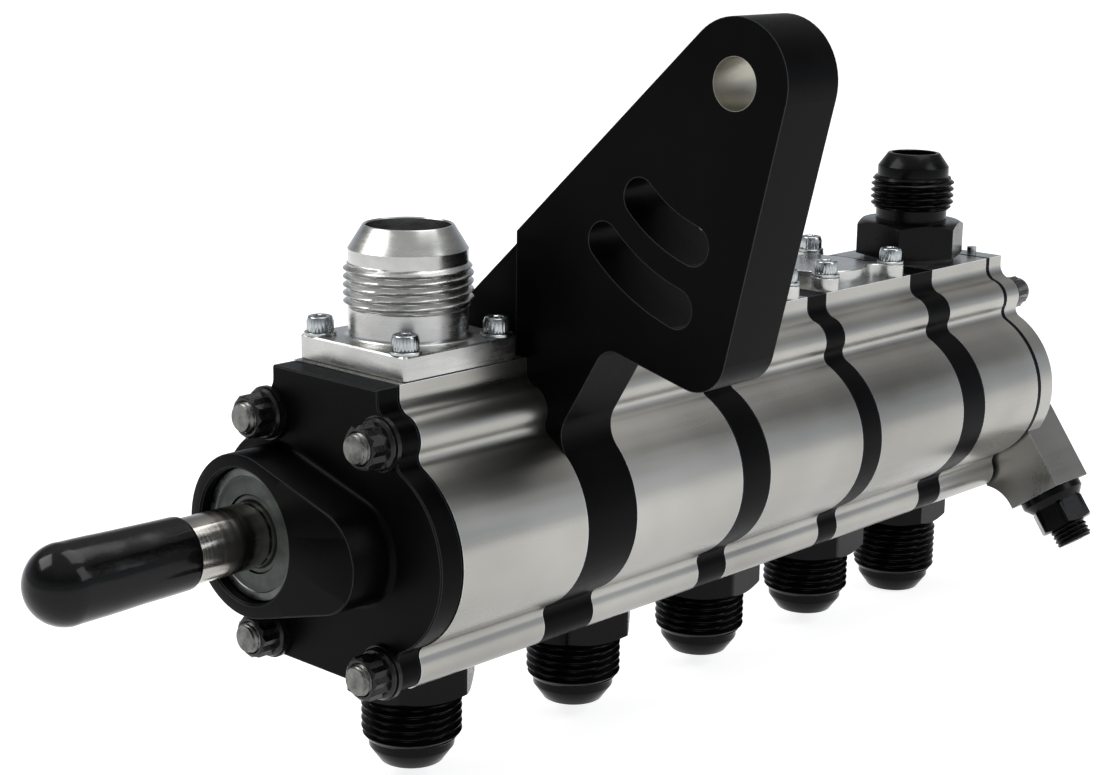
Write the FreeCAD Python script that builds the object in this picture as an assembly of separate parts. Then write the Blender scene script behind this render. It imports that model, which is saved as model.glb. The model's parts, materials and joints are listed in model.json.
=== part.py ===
import FreeCAD, Part
import math
import os

# Dry sump oil pump for an engine: four scavenge stages and one pressure stage on two shafts,
# clamped between two covers by four through studs and hung from a slotted bracket.
# Millimetres. While modelling, X is 0 midway between the shafts, Y is 0 on the front cover's face
# and Z is 0 on the plane of the shafts. Each file is moved so that its origin is the centre of the
# bracket's pivot bore, on the bracket's front face.

# Shafts and rotors
shaft_spacing = 33.4
shaft_radius = 7.5
scavenge_lobes = 3
pressure_teeth = 10
tip_clearance = 0.2
mesh_clearance = 0.12
end_clearance = 0.15
running_clearance = 0.05
fit_gap = 0.03
shaft_free_length = 61.7
key_width = 5.0
key_height = 5.0
key_length_share = 0.5
pulley_keyway_length = 28.0
shaft_chamfer = 0.8
centre_drill_radius = 2.2
centre_drill_depth = 2.6

# Body outline
rotor_lobe_radius = 25.6
stud_offset_x = 21.3
stud_offset_z = 29.3
stud_lobe_radius = 6.1
waist_fillet = 3.0
top_flat_z = 42.3
top_half_width = 19.8
top_cove_fillet = 4.0
edge_break = 0.3

# Stack from front to rear
cover_thickness = 7.2
scavenge_length = 44.45
bracket_thickness = 19.05
wide_divider = 12.6
narrow_divider = 9.7
pressure_length = 31.9
rear_plate_thickness = 2.1

# Front nose that holds the drive bearing
nose_length = 13.0
nose_radius = 25.0
nose_idler_radius = 15.4
nose_idler_inset = 2.0
nose_edge_round = 0.6
nose_foot_fillet = 2.0

# Ball bearing, seal and bushes
bearing_outer_radius = 17.5
bearing_width = 11.0
bearing_recess = 1.0
ball_share = 0.3
shoulder_share = 0.7
ball_count = 9
ball_clearance = 0.06
shield_thickness = 0.5
shield_inset = 0.5
seal_radius = 12.5
seal_width = 5.5
seal_lip_width = 1.2
seal_wall = 1.6
bush_wall = 2.5
bush_length = 12.0

# Through studs with their nuts and washers
stud_radius = 4.0
stud_hole_gap = 0.2
stud_reach = 9.8
stud_chamfer = 0.9
stud_washer_radius = 7.0
stud_washer_thickness = 1.2
nut_room_gap = 0.5
nut_flange_radius = 6.6
nut_flange_thickness = 1.5
nut_across_flats = 10.0
nut_height = 6.6

# Bracket arm with its pivot and two arc slots
pivot_x = 84.8
pivot_z = 117.1
pivot_bore_radius = 6.25
arm_end_radius = 15.4
toe_x = 75.0
toe_z = 52.4
toe_radius = 9.7
web_foot_x = 33.6
web_foot_z = 28.3
web_slope_degrees = 58.4
web_top_fillet = 6.0
web_foot_fillet = 8.0
slot_width = 10.0
slot_radii = (40.5, 57.0)
slot_start_degrees = 226.5
slot_end_degrees = 254.0
relief_edge_x = 15.8
relief_depth = 5.0

# Oil ways
gallery_radius = 8.0
gallery_z = 30.0
port_radius = 7.6
port_seat_depth = 9.6
outlet_bore_radius = 10.9

# Flanged outlet fitting on the first stage
flange_side = 37.6
flange_thickness = 6.4
flange_screw_offset = 15.0
outlet_neck_radius = 15.2
outlet_neck_height = 7.6
outlet_neck_fillet = 1.4
outlet_thread_radius = 16.67
outlet_thread_height = 12.0
outlet_relief_radius = 15.3
outlet_relief_height = 3.2
outlet_nose_radius = 11.6
thread_chamfer = 0.9
flare_degrees = 37.0

# Cap screws and their washers
screw_radius = 2.0
screw_head_radius = 3.5
screw_head_height = 4.0
screw_head_round = 0.44
screw_length = 14.0
screw_socket_across = 3.0
screw_socket_depth = 2.0
screw_washer_radius = 4.15
screw_washer_thickness = 0.8
screw_hole_gap = 0.15

# Lobed covers over the top ports of the third and fourth stages
port_cover_thickness = 4.0
port_cover_radius = 15.2
port_cover_lobe_radius = 4.2
port_cover_screw_x = 15.5
port_cover_screw_inset = 5.125
port_cover_fillet = 4.0

# Hexagon fittings
fitting_thread_radius = 13.49
fitting_relief_radius = 11.5
fitting_nose_radius = 8.3
fitting_bore_radius = 7.2
fitting_hex_across = 31.75
fitting_hex_height = 11.2
fitting_neck_height = 1.0
fitting_thread_height = 12.6
fitting_relief_height = 2.6
fitting_turns = (39.0, 39.0, 11.0, 8.0, 5.0)
pressure_inlet_hex_across = 28.6
pressure_inlet_thread_height = 16.9
pressure_outlet_turn = 22.0
pressure_outlet_neck_height = 4.2
pressure_outlet_thread_height = 10.4
pressure_outlet_relief_height = 3.4
outlet_seal_thickness = 1.2
outlet_seal_radius = 14.6
hex_chamfer = 1.2
hex_chamfer_degrees = 30.0

# Rear cover and pressure regulator
rear_boss_radius = 14.0
regulator_degrees = 35.8
regulator_block_width = 19.6
regulator_block_depth = 20.0
regulator_block_reach = 43.9
regulator_block_fillet = 11.5
regulator_bore_radius = 6.5
regulator_bore_depth = 30.0
regulator_passage_radius = 3.0
regulator_flange_radius = 10.6
regulator_flange_thickness = 3.4
regulator_hex_across = 16.4
regulator_hex_height = 9.2
regulator_stub_length = 8.0
adjuster_radius = 5.7
adjuster_reach = 5.8
adjuster_socket_across = 5.0
adjuster_socket_depth = 4.0
adjuster_chamfer = 0.7
seat_radius = 5.2
seat_thickness = 1.5
spring_radius = 4.2
spring_wire_radius = 0.5
spring_turns = 6
poppet_length = 7.5
poppet_wall = 1.4
poppet_end_gap = 0.5
plug_x = 10.5
plug_radius = 1.6
plug_height = 2.2
plug_depth = 4.0

# Vinyl cap on the shaft end
cap_length = 50.0
cap_wall = 1.35
cap_end_wall = 2.0
cap_dome = 4.5

# Points of the rotor curves over one lobe and its valley
scavenge_curve_points = 20
pressure_curve_points = 10

# Worked out from the sizes above
V = FreeCAD.Vector
along = V(0, 1, 0)
up = V(0, 0, 1)
over = 1.0
plane_gap = 0.01
drive_x = -shaft_spacing / 2
idler_x = shaft_spacing / 2
bottom_z = -(stud_offset_z + stud_lobe_radius)
scavenge_y = []
divider_y = []


def stack_positions():
    y = cover_thickness
    for thickness in (bracket_thickness, wide_divider, narrow_divider, wide_divider):
        scavenge_y.append(y)
        divider_y.append(y + scavenge_length)
        y = divider_y[-1] + thickness
    return y


pressure_y = stack_positions()
rear_plate_y = pressure_y + pressure_length
rear_cover_y = rear_plate_y + rear_plate_thickness
rear_face_y = rear_cover_y + cover_thickness
bracket_y = divider_y[0]
origin = V(pivot_x, bracket_y, pivot_z)
bore_radius = shaft_radius + running_clearance
shaft_tip_y = -nose_length - shaft_free_length
pocket_floor_y = rear_cover_y + bush_length
bearing_pitch_radius = (bearing_outer_radius + shaft_radius) / 2
ball_radius = (bearing_outer_radius - shaft_radius) * ball_share
ring_shoulder = ball_radius * shoulder_share
port_cover_screw_y = scavenge_length / 2 - port_cover_screw_inset
stud_places = [(x, z) for x in (-stud_offset_x, stud_offset_x) for z in (-stud_offset_z, stud_offset_z)]
regulator_lean = math.radians(regulator_degrees)
regulator_way = V(math.sin(regulator_lean), 0, -math.cos(regulator_lean))
regulator_side = V(-regulator_way.z, 0, regulator_way.x)
regulator_y = rear_cover_y + regulator_block_depth / 2


# Writing and placing shapes

def save(name, shape):
    moved = shape.copy()
    moved.translate(-origin)
    moved.exportStep("parts/" + name + ".step")


def fused(shapes):
    shapes = list(shapes)
    return shapes[0].fuse(shapes[1:]).removeSplitter() if len(shapes) > 1 else shapes[0]


def placed(shape, base, way):
    moved = shape.copy()
    moved.Placement = FreeCAD.Placement(base, FreeCAD.Rotation(up, way)).multiply(moved.Placement)
    return moved


def rod(radius, length, base, way):
    return Part.makeCylinder(radius, length, base, way)


def tube(outer, inner, length, base, way):
    hole = rod(inner, length + 2 * over, base - way * over, way)
    return rod(outer, length, base, way).cut(hole)


def box(x_range, y_range, z_range):
    size = [high - low for low, high in (x_range, y_range, z_range)]
    return Part.makeBox(*size, V(x_range[0], y_range[0], z_range[0]))


def turned(outline, base, way):
    corners = [V(radius, 0, height) for radius, height in outline]
    face = Part.Face(Part.makePolygon(corners + corners[:1]))
    return placed(face.revolve(V(0, 0, 0), up, 360), base, way)


def prism(sides, across, height, base, way, turn=0.0):
    corner = across / 2 / math.cos(math.pi / sides)
    angles = [math.radians(turn) + 2 * math.pi * i / sides for i in range(sides + 1)]
    wire = Part.makePolygon([V(corner * math.cos(t), corner * math.sin(t), 0) for t in angles])
    return placed(Part.Face(wire).extrude(V(0, 0, height)), base, way)


# Plane geometry in X and Z

def polar(centre, radius, degrees):
    angle = math.radians(degrees)
    return V(centre.x + radius * math.cos(angle), centre.y, centre.z + radius * math.sin(angle))


def line(start, end):
    return Part.LineSegment(start, end).toShape()


def short_arc(centre, start, end):
    radius = (start - centre).Length
    middle = centre + ((start - centre) + (end - centre)).normalize() * radius
    return Part.Arc(start, middle, end).toShape()


def through_arc(start, middle, end):
    return Part.Arc(start, middle, end).toShape()


def fillet_centre(centre_a, reach_a, centre_b, reach_b, side):
    # Point at the two distances from the two centres, on the chosen side of the line between them
    gap = centre_b - centre_a
    distance = gap.Length
    share = (distance ** 2 + reach_a ** 2 - reach_b ** 2) / (2 * distance)
    height = math.sqrt(reach_a ** 2 - share ** 2)
    gap.normalize()
    return centre_a + gap * share + V(-gap.z, 0, gap.x) * height * side


def touch(centre, other, radius):
    return centre + (other - centre).normalize() * radius


def face_of(edges):
    return Part.Face(Part.Wire(Part.__sortEdges__(edges)))


def outer_tangent(centre_a, radius_a, centre_b, radius_b, side):
    # Tangent points of the line that touches both circles on the chosen side
    gap = centre_b - centre_a
    distance = gap.Length
    gap.normalize()
    lean = (radius_a - radius_b) / distance
    normal = gap * lean + V(-gap.z, 0, gap.x) * math.sqrt(1 - lean ** 2) * side
    return centre_a + normal * radius_a, centre_b + normal * radius_b


def hull_face(centre_a, radius_a, centre_b, radius_b):
    high_a, high_b = outer_tangent(centre_a, radius_a, centre_b, radius_b, 1)
    low_a, low_b = outer_tangent(centre_a, radius_a, centre_b, radius_b, -1)
    far_a = touch(centre_a, centre_a * 2 - centre_b, radius_a)
    far_b = touch(centre_b, centre_b * 2 - centre_a, radius_b)
    return face_of([line(high_a, high_b), through_arc(high_b, far_b, low_b),
                    line(low_b, low_a), through_arc(low_a, far_a, high_a)])


# Body outline: two rotor lobes, four stud lobes and the raised top

def outline_side(side, y):
    rotor = V(side * shaft_spacing / 2, y, 0)
    low = V(side * stud_offset_x, y, -stud_offset_z)
    high = V(side * stud_offset_x, y, stud_offset_z)
    lobe_reach = rotor_lobe_radius + waist_fillet
    stud_reach_out = stud_lobe_radius + waist_fillet
    low_waist = fillet_centre(rotor, lobe_reach, low, stud_reach_out, side)
    high_waist = fillet_centre(rotor, lobe_reach, high, stud_reach_out, -side)
    cove_x = top_half_width + top_cove_fillet
    cove_rise = math.sqrt((stud_lobe_radius + top_cove_fillet) ** 2 - (cove_x - stud_offset_x) ** 2)
    cove = V(side * cove_x, y, stud_offset_z + cove_rise)
    cove_end = V(side * top_half_width, y, cove.z)
    floor = V(side * stud_offset_x, y, bottom_z)
    corner = V(side * top_half_width, y, top_flat_z)
    low_end = touch(low, low_waist, stud_lobe_radius)
    lobe_start = touch(rotor, low_waist, rotor_lobe_radius)
    lobe_end = touch(rotor, high_waist, rotor_lobe_radius)
    high_start = touch(high, high_waist, stud_lobe_radius)
    high_end = touch(high, cove, stud_lobe_radius)
    return [line(V(0, y, bottom_z), floor),
            short_arc(low, floor, low_end),
            short_arc(low_waist, low_end, lobe_start),
            short_arc(rotor, lobe_start, lobe_end),
            short_arc(high_waist, lobe_end, high_start),
            short_arc(high, high_start, high_end),
            short_arc(cove, high_end, cove_end),
            line(cove_end, corner),
            line(corner, V(0, y, top_flat_z))]


def body_face(y):
    return face_of(outline_side(1, y) + outline_side(-1, y))


def broken_edges(solid):
    # Small chamfer round both faces of a black plate
    size = solid.BoundBox
    rims = edges_at(solid, size.YMin) + edges_at(solid, size.YMax)
    return solid.makeChamfer(edge_break, rims)


def edges_at(solid, y):
    # Edges that lie in the plane at this Y
    return [edge for edge in solid.Edges
            if abs(edge.BoundBox.YMin - y) < plane_gap and abs(edge.BoundBox.YMax - y) < plane_gap]


def slab(y, length):
    return body_face(y).extrude(along * length)


def stud_holes(y, length):
    radius = stud_radius + stud_hole_gap
    return [rod(radius, length + 2 * over, V(x, y - over, z), along) for x, z in stud_places]


def shaft_bores(y, length):
    return [rod(bore_radius, length + 2 * over, V(x, y - over, 0), along) for x in (drive_x, idler_x)]


def gallery(y, length):
    return rod(gallery_radius, length + 2 * over, V(0, y - over, gallery_z), along)


# Rotors: cycloid lobes, so that the pair stays in mesh through the whole turn

def rolling_radius(lobes):
    return shaft_spacing / 4 / lobes


def rotor_tip_radius(lobes):
    return shaft_spacing / 2 + 2 * rolling_radius(lobes) - mesh_clearance / 2


def chamber_radius(lobes):
    return rotor_tip_radius(lobes) + tip_clearance


def cycloid_point(lobes, turn):
    # Turn runs over one lobe and one valley: the first half rolls outside the pitch circle
    pitch = shaft_spacing / 2
    small = rolling_radius(lobes)
    side = 1 if turn < 0.5 else -1
    angle = turn * 2 * math.pi / lobes
    local = (turn % 0.5) * 4 * math.pi
    start = 0 if side > 0 else math.pi / lobes
    reach = pitch + side * small
    roll = start + (angle - start)
    spin = roll + local if side > 0 else roll - local
    x = reach * math.cos(roll) - side * small * math.cos(spin)
    z = reach * math.sin(roll) - side * small * math.sin(spin)
    return x, z


def rotor_curve(lobes, points_per_lobe, first_degrees):
    points = []
    step = 1e-4
    for lobe in range(lobes):
        for i in range(points_per_lobe):
            turn = (i + 0.5) / points_per_lobe
            x, z = cycloid_point(lobes, turn)
            ahead = cycloid_point(lobes, turn + step)
            slope_x, slope_z = ahead[0] - x, ahead[1] - z
            length = math.hypot(slope_x, slope_z)
            x -= slope_z / length * mesh_clearance / 2
            z += slope_x / length * mesh_clearance / 2
            angle = math.radians(first_degrees) + 2 * math.pi * (lobe - 0.25) / lobes
            turned_x = x * math.cos(angle) - z * math.sin(angle)
            turned_z = x * math.sin(angle) + z * math.cos(angle)
            points.append(V(turned_x, 0, turned_z))
    curve = Part.BSplineCurve()
    curve.interpolate(Points=points, PeriodicFlag=True)
    return curve.toShape()


def key_slot(y, length, side_gap, top_gap):
    half = key_width / 2 + side_gap
    top = shaft_radius + key_height / 2 + top_gap
    return box((0, top), (y, y + length), (-half, half))


def rotor(lobes, centre_x, y, length, first_degrees, points_per_lobe):
    start = y + end_clearance
    width = length - 2 * end_clearance
    outline = Part.Face(Part.Wire([rotor_curve(lobes, points_per_lobe, first_degrees)]))
    outline.translate(V(0, start, 0))
    body = outline.extrude(along * width)
    body = body.cut(rod(shaft_radius + fit_gap, width + 2 * over, V(0, start - over, 0), along))
    body = body.cut(key_slot(start - over, width + 2 * over, fit_gap, fit_gap))
    body.translate(V(centre_x, 0, 0))
    return body


def keys(centre_x):
    solids = []
    for y, length in rotor_rooms():
        key_length = length * key_length_share
        start = y + (length - key_length) / 2
        low = shaft_radius - key_height / 2
        key = box((low, low + key_height), (start, start + key_length), (-key_width / 2, key_width / 2))
        key.translate(V(centre_x, 0, 0))
        solids.append(key)
    return solids


def rotor_rooms():
    rooms = [(y, scavenge_length) for y in scavenge_y]
    rooms.append((pressure_y, pressure_length))
    return rooms


def key_seats(centre_x):
    seats = []
    for key in keys(centre_x):
        size = key.BoundBox
        seats.append(box((size.XMin - fit_gap, size.XMax + fit_gap),
                         (size.YMin - fit_gap, size.YMax + fit_gap),
                         (size.ZMin - fit_gap, size.ZMax + fit_gap)))
    return seats


def round_shaft(centre_x, start_y, end_y):
    length = end_y - start_y
    outline = [(0, centre_drill_depth), (centre_drill_radius, 0),
               (shaft_radius - shaft_chamfer, 0), (shaft_radius, shaft_chamfer),
               (shaft_radius, length - shaft_chamfer), (shaft_radius - shaft_chamfer, length),
               (centre_drill_radius, length), (0, length - centre_drill_depth)]
    return turned(outline, V(centre_x, start_y, 0), along).cut(key_seats(centre_x))


def drive_shaft():
    shaft = round_shaft(drive_x, shaft_tip_y, pocket_floor_y - running_clearance * 4)
    depth = key_height / 2
    keyway = box((drive_x + shaft_radius - depth, drive_x + shaft_radius + over),
                 (shaft_tip_y - over, shaft_tip_y + pulley_keyway_length), (-key_width / 2, key_width / 2))
    return shaft.cut(keyway)


def idler_shaft():
    start = idler_pocket_y() + running_clearance * 4
    return round_shaft(idler_x, start, pocket_floor_y - running_clearance * 4)


def idler_pocket_y():
    return cover_thickness - bush_length


# Housing stack

def chambers(y, length, lobes):
    radius = chamber_radius(lobes)
    return [rod(radius, length + 2 * over, V(x, y - over, 0), along) for x in (drive_x, idler_x)]


def inlet_port(y):
    seat = rod(fitting_thread_radius + fit_gap, port_seat_depth + over, V(0, y, bottom_z - over), up)
    way = rod(port_radius, -bottom_z, V(0, y, bottom_z), up)
    return [seat, way]


def outlet_way(y, radius, top_z):
    return rod(radius, top_z, V(0, y, 0), up)


def port_cover_places(y):
    return [(sx * port_cover_screw_x, y + sy * port_cover_screw_y) for sx in (-1, 1) for sy in (-1, 1)]


def flange_places(y):
    return [(sx * flange_screw_offset, y + sy * flange_screw_offset) for sx in (-1, 1) for sy in (-1, 1)]


def screw_holes(places, plate_thickness):
    depth = screw_length - plate_thickness
    low = top_flat_z - depth - over
    return [rod(screw_radius + fit_gap, depth + 2 * over, V(x, y, low), up) for x, y in places]


def scavenge_housing(index):
    y = scavenge_y[index]
    middle = y + scavenge_length / 2
    cuts = chambers(y, scavenge_length, scavenge_lobes) + stud_holes(y, scavenge_length)
    cuts += inlet_port(middle) + [gallery(y, scavenge_length)]
    if index == 0:
        cuts.append(outlet_way(middle, outlet_bore_radius, top_flat_z + over))
        cuts += screw_holes(flange_places(middle), flange_thickness)
    elif index >= 2:
        cuts.append(outlet_way(middle, port_radius, top_flat_z + over))
        cuts += screw_holes(port_cover_places(middle), port_cover_thickness)
    else:
        cuts.append(outlet_way(middle, port_radius, gallery_z))
    return slab(y, scavenge_length).cut(cuts)


def pressure_housing():
    middle = pressure_y + pressure_length / 2
    cuts = chambers(pressure_y, pressure_length, pressure_teeth) + stud_holes(pressure_y, pressure_length)
    seat_low = V(0, middle, top_flat_z - port_seat_depth)
    seat = rod(fitting_thread_radius + fit_gap, port_seat_depth + over, seat_low, up)
    cuts += inlet_port(middle) + [seat, outlet_way(middle, port_radius, top_flat_z)]
    return slab(pressure_y, pressure_length).cut(cuts)


def relief_passage():
    # Small way from the pressure chamber to the valve's bore
    reach = regulator_block_reach - regulator_bore_depth + regulator_passage_radius
    start = regulator_point(reach, 0, rear_plate_y)
    return rod(regulator_passage_radius, regulator_y - rear_plate_y, start - along * over, along)


def rear_plate():
    return divider(rear_plate_y, rear_plate_thickness, False).cut(relief_passage())


def divider(y, thickness, with_gallery):
    cuts = stud_holes(y, thickness) + shaft_bores(y, thickness)
    if with_gallery:
        cuts.append(gallery(y, thickness))
    return broken_edges(slab(y, thickness)).cut(cuts)


def front_cover():
    drive = V(drive_x, -nose_length, 0)
    idler = V(idler_x - nose_idler_inset, -nose_length, 0)
    nose = hull_face(drive, nose_radius, idler, nose_idler_radius).extrude(along * nose_length)
    nose = with_foot_fillet(nose.makeChamfer(nose_edge_round, edges_at(nose, -nose_length)))
    nose = nose.cut(nut_rooms(-nose_length - over, nose_length + over))
    cover = broken_edges(slab(0, cover_thickness)).fuse(nose).removeSplitter()
    pocket = rod(bearing_outer_radius + fit_gap, bearing_recess + bearing_width + over,
                 V(drive_x, -nose_length - over, 0), along)
    seal_low = V(drive_x, cover_thickness - seal_width, 0)
    seal_room = rod(seal_radius + fit_gap, seal_width + over, seal_low, along)
    way = rod(shaft_radius + over, nose_length + cover_thickness, V(drive_x, -nose_length, 0), along)
    idler_low = V(idler_x, idler_pocket_y(), 0)
    idler_pocket = rod(bush_outer_radius() + fit_gap, bush_length + over, idler_low, along)
    return cover.cut([pocket, seal_room, way, idler_pocket] + stud_holes(0, cover_thickness))


def with_foot_fillet(nose):
    # The fillet runs out over a wider plate, then the body's outline trims it
    reach = top_flat_z * 2
    plate = box((-reach, reach), (0, cover_thickness / 2), (-reach, reach))
    joined = plate.fuse(nose).removeSplitter()
    foot = [edge for edge in edges_at(joined, 0)
            if edge.BoundBox.XMax < reach / 2 and edge.BoundBox.XMin > -reach / 2]
    start = -nose_length - over
    trim = body_face(start).extrude(along * (cover_thickness / 2 - start))
    return joined.makeFillet(nose_foot_fillet, foot).common(trim)


def nut_rooms(y, length):
    radius = stud_washer_radius + nut_room_gap
    return [rod(radius, length, V(x, y, z), along) for x, z in stud_places]


def bush_outer_radius():
    return bore_radius + bush_wall


# Bracket: the second plate of the stack with the arm above it

def bracket_face(y):
    # The body's outline with the arm in place of its upper right side
    pivot = V(pivot_x, y, pivot_z)
    toe = V(toe_x, y, toe_z)
    rotor_centre = V(idler_x, y, 0)
    heel = V(-top_half_width, y, top_flat_z)
    # The far edge runs from the corner of the flat top and touches the rounded end
    gap = pivot - heel
    tangent_length = math.sqrt(gap.Length ** 2 - arm_end_radius ** 2)
    shoulder = fillet_centre(heel, tangent_length, pivot, arm_end_radius, 1)
    side_top, side_low = outer_tangent(pivot, arm_end_radius, toe, toe_radius, 1)
    down = (side_low - side_top).normalize()
    sole = toe + down * toe_radius
    inward = V(down.z, 0, -down.x)
    # The underside meets the web, which leans down to the rotor lobe
    lean = math.radians(web_slope_degrees)
    web_way = V(math.cos(lean), 0, math.sin(lean))
    foot = V(web_foot_x, y, web_foot_z)
    corner = crossing(sole, inward, foot, web_way)
    half_turn = (math.pi - math.acos(max(-1, min(1, (inward * -1).dot(web_way * -1))))) / 2
    setback = web_top_fillet * math.tan(half_turn)
    sole_end = corner - inward * setback
    web_top = corner - web_way * setback
    top_rise = web_top_fillet * (1 / math.cos(half_turn) - 1)
    top_middle = corner + ((sole_end + web_top) * 0.5 - corner).normalize() * top_rise
    # The foot fillet touches the web and the rotor lobe
    outward = V(web_way.z, 0, -web_way.x)
    offset_line = foot + outward * web_foot_fillet
    foot_centre = line_circle(offset_line, web_way, rotor_centre, rotor_lobe_radius + web_foot_fillet)
    web_low = foot_centre - outward * web_foot_fillet
    landing = touch(rotor_centre, foot_centre, rotor_lobe_radius)
    crown = pivot + ((shoulder - pivot) + (side_top - pivot)).normalize() * arm_end_radius
    near_side = outline_side(1, y)
    far_side = outline_side(-1, y)
    lobe_start = near_side[3].Vertexes[0].Point
    body = near_side[:3] + far_side[:-1] + [short_arc(rotor_centre, lobe_start, landing)]
    arm = [line(heel, shoulder),
           through_arc(shoulder, crown, side_top),
           line(side_top, side_low),
           short_arc(toe, side_low, sole),
           line(sole, sole_end),
           through_arc(sole_end, top_middle, web_top),
           line(web_top, web_low),
           short_arc(foot_centre, web_low, landing)]
    return face_of(body + arm)


def crossing(point_a, way_a, point_b, way_b):
    cross = way_a.x * way_b.z - way_a.z * way_b.x
    gap = point_b - point_a
    return point_a + way_a * ((gap.x * way_b.z - gap.z * way_b.x) / cross)


def line_circle(point, way, centre, radius):
    # Far crossing of a line and a circle
    gap = point - centre
    middle = -gap.dot(way)
    nearest = (gap + way * middle).Length
    return point + way * (middle + math.sqrt(radius ** 2 - nearest ** 2))


def arc_slot(radius, y, length):
    pivot = V(pivot_x, y, pivot_z)
    middle = (slot_start_degrees + slot_end_degrees) / 2
    rims = {}
    for name, reach in (("outer", radius + slot_width / 2), ("inner", radius - slot_width / 2)):
        rims[name] = [polar(pivot, reach, angle) for angle in (slot_start_degrees, middle, slot_end_degrees)]
    start = polar(pivot, radius, slot_start_degrees)
    end = polar(pivot, radius, slot_end_degrees)
    before = (start - polar(pivot, radius, slot_start_degrees + 1)).normalize()
    after = (end - polar(pivot, radius, slot_end_degrees - 1)).normalize()
    start_tip = start + before * (slot_width / 2)
    end_tip = end + after * (slot_width / 2)
    face = face_of([through_arc(*rims["outer"]), through_arc(*rims["inner"]),
                    through_arc(rims["inner"][0], start_tip, rims["outer"][0]),
                    through_arc(rims["inner"][2], end_tip, rims["outer"][2])])
    return face.extrude(along * length)


def mount_bracket():
    y = bracket_y
    plate = bracket_face(y).extrude(along * bracket_thickness)
    through = bracket_thickness + 2 * over
    cuts = stud_holes(y, bracket_thickness) + shaft_bores(y, bracket_thickness)
    cuts.append(gallery(y, bracket_thickness))
    cuts.append(rod(pivot_bore_radius, through, V(pivot_x, y - over, pivot_z), along))
    cuts += [arc_slot(radius, y - over, through) for radius in slot_radii]
    reach = pivot_z + arm_end_radius
    relief_x = (-top_half_width - over, relief_edge_x)
    cuts.append(box(relief_x, (y - over, y + relief_depth), (top_flat_z, reach)))
    return plate.cut(cuts)


# Rear cover with bearing boss and regulator block

def regulator_point(along_axis, across, y):
    return V(idler_x, y, 0) + regulator_way * along_axis + regulator_side * across


def regulator_block():
    y = rear_cover_y
    half = regulator_block_width / 2
    lean = regulator_lean
    centre_z = bottom_z - regulator_block_fillet
    centre_x = idler_x + (-half - regulator_block_fillet - centre_z * math.sin(lean)) / math.cos(lean)
    fillet = V(centre_x, y, centre_z)
    on_side = fillet + regulator_side * regulator_block_fillet
    on_floor = V(centre_x, y, bottom_z)
    start = regulator_point(0, half, y)
    far = regulator_point(regulator_block_reach, half, y)
    near = regulator_point(regulator_block_reach, -half, y)
    inside = regulator_point(0, -half, y)
    face = face_of([line(start, far), line(far, near), line(near, on_side),
                    short_arc(fillet, on_side, on_floor), line(on_floor, inside), line(inside, start)])
    return face.extrude(along * regulator_block_depth)


def rear_cover():
    drive = V(drive_x, rear_cover_y, 0)
    idler = V(idler_x, rear_cover_y, 0)
    boss = hull_face(drive, rear_boss_radius, idler, rear_boss_radius).extrude(along * regulator_block_depth)
    raised = fused([boss, regulator_block()]).cut(nut_rooms(rear_face_y, regulator_block_depth))
    cover = slab(rear_cover_y, cover_thickness).fuse(raised).removeSplitter()
    pockets = [rod(bush_outer_radius() + fit_gap, bush_length + over, V(x, rear_cover_y - over, 0), along)
               for x in (drive_x, idler_x)]
    floor = regulator_point(regulator_block_reach - regulator_bore_depth, 0, regulator_y)
    bore = rod(regulator_bore_radius, regulator_bore_depth + over, floor, regulator_way)
    plug_y = rear_cover_y + cover_thickness / 2
    plug_hole = rod(plug_radius + fit_gap, plug_depth + over, V(plug_x, plug_y, top_flat_z - plug_depth), up)
    cuts = pockets + stud_holes(rear_cover_y, cover_thickness) + [bore, relief_passage(), plug_hole]
    return cover.cut(cuts)


def rear_cover_plug():
    return rod(plug_radius, plug_depth + plug_height,
               V(plug_x, rear_cover_y + cover_thickness / 2, top_flat_z - plug_depth), up)


# Bearings and seal

def bearing_ring(outer, inner):
    y = -nose_length + bearing_recess
    ring = tube(outer, inner, bearing_width, V(drive_x, y, 0), along)
    middle = V(drive_x, y + bearing_width / 2, 0)
    return ring.cut(Part.makeTorus(bearing_pitch_radius, ball_radius + ball_clearance, middle, along))


def outer_ring():
    return bearing_ring(bearing_outer_radius, bearing_pitch_radius + ring_shoulder)


def inner_ring():
    return bearing_ring(bearing_pitch_radius - ring_shoulder, shaft_radius + fit_gap)


def bearing_balls():
    middle = V(drive_x, -nose_length + bearing_recess + bearing_width / 2, 0)
    places = [polar(middle, bearing_pitch_radius, 360 * i / ball_count) for i in range(ball_count)]
    return [Part.makeSphere(ball_radius, place) for place in places]


def bearing_shields():
    front = -nose_length + bearing_recess + shield_inset
    back = -nose_length + bearing_recess + bearing_width - shield_inset - shield_thickness
    outer = bearing_pitch_radius + ring_shoulder - fit_gap
    inner = bearing_pitch_radius - ring_shoulder + tip_clearance
    return [tube(outer, inner, shield_thickness, V(drive_x, y, 0), along) for y in (front, back)]


def shaft_seal():
    base = V(drive_x, cover_thickness - seal_width, 0)
    inner = seal_radius - seal_wall
    lip = bore_radius
    outline = [(seal_radius, 0), (seal_radius, seal_width), (inner, seal_width), (inner, seal_wall),
               (lip + seal_lip_width, seal_wall), (lip + seal_lip_width, seal_width - seal_wall),
               (lip, seal_width - seal_wall), (lip, 0)]
    return turned(outline, base, along)


def bushings():
    places = [(drive_x, rear_cover_y), (idler_x, rear_cover_y), (idler_x, idler_pocket_y())]
    return [tube(bush_outer_radius(), bore_radius, bush_length, V(x, y, 0), along) for x, y in places]


# Studs, nuts and washers

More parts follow.
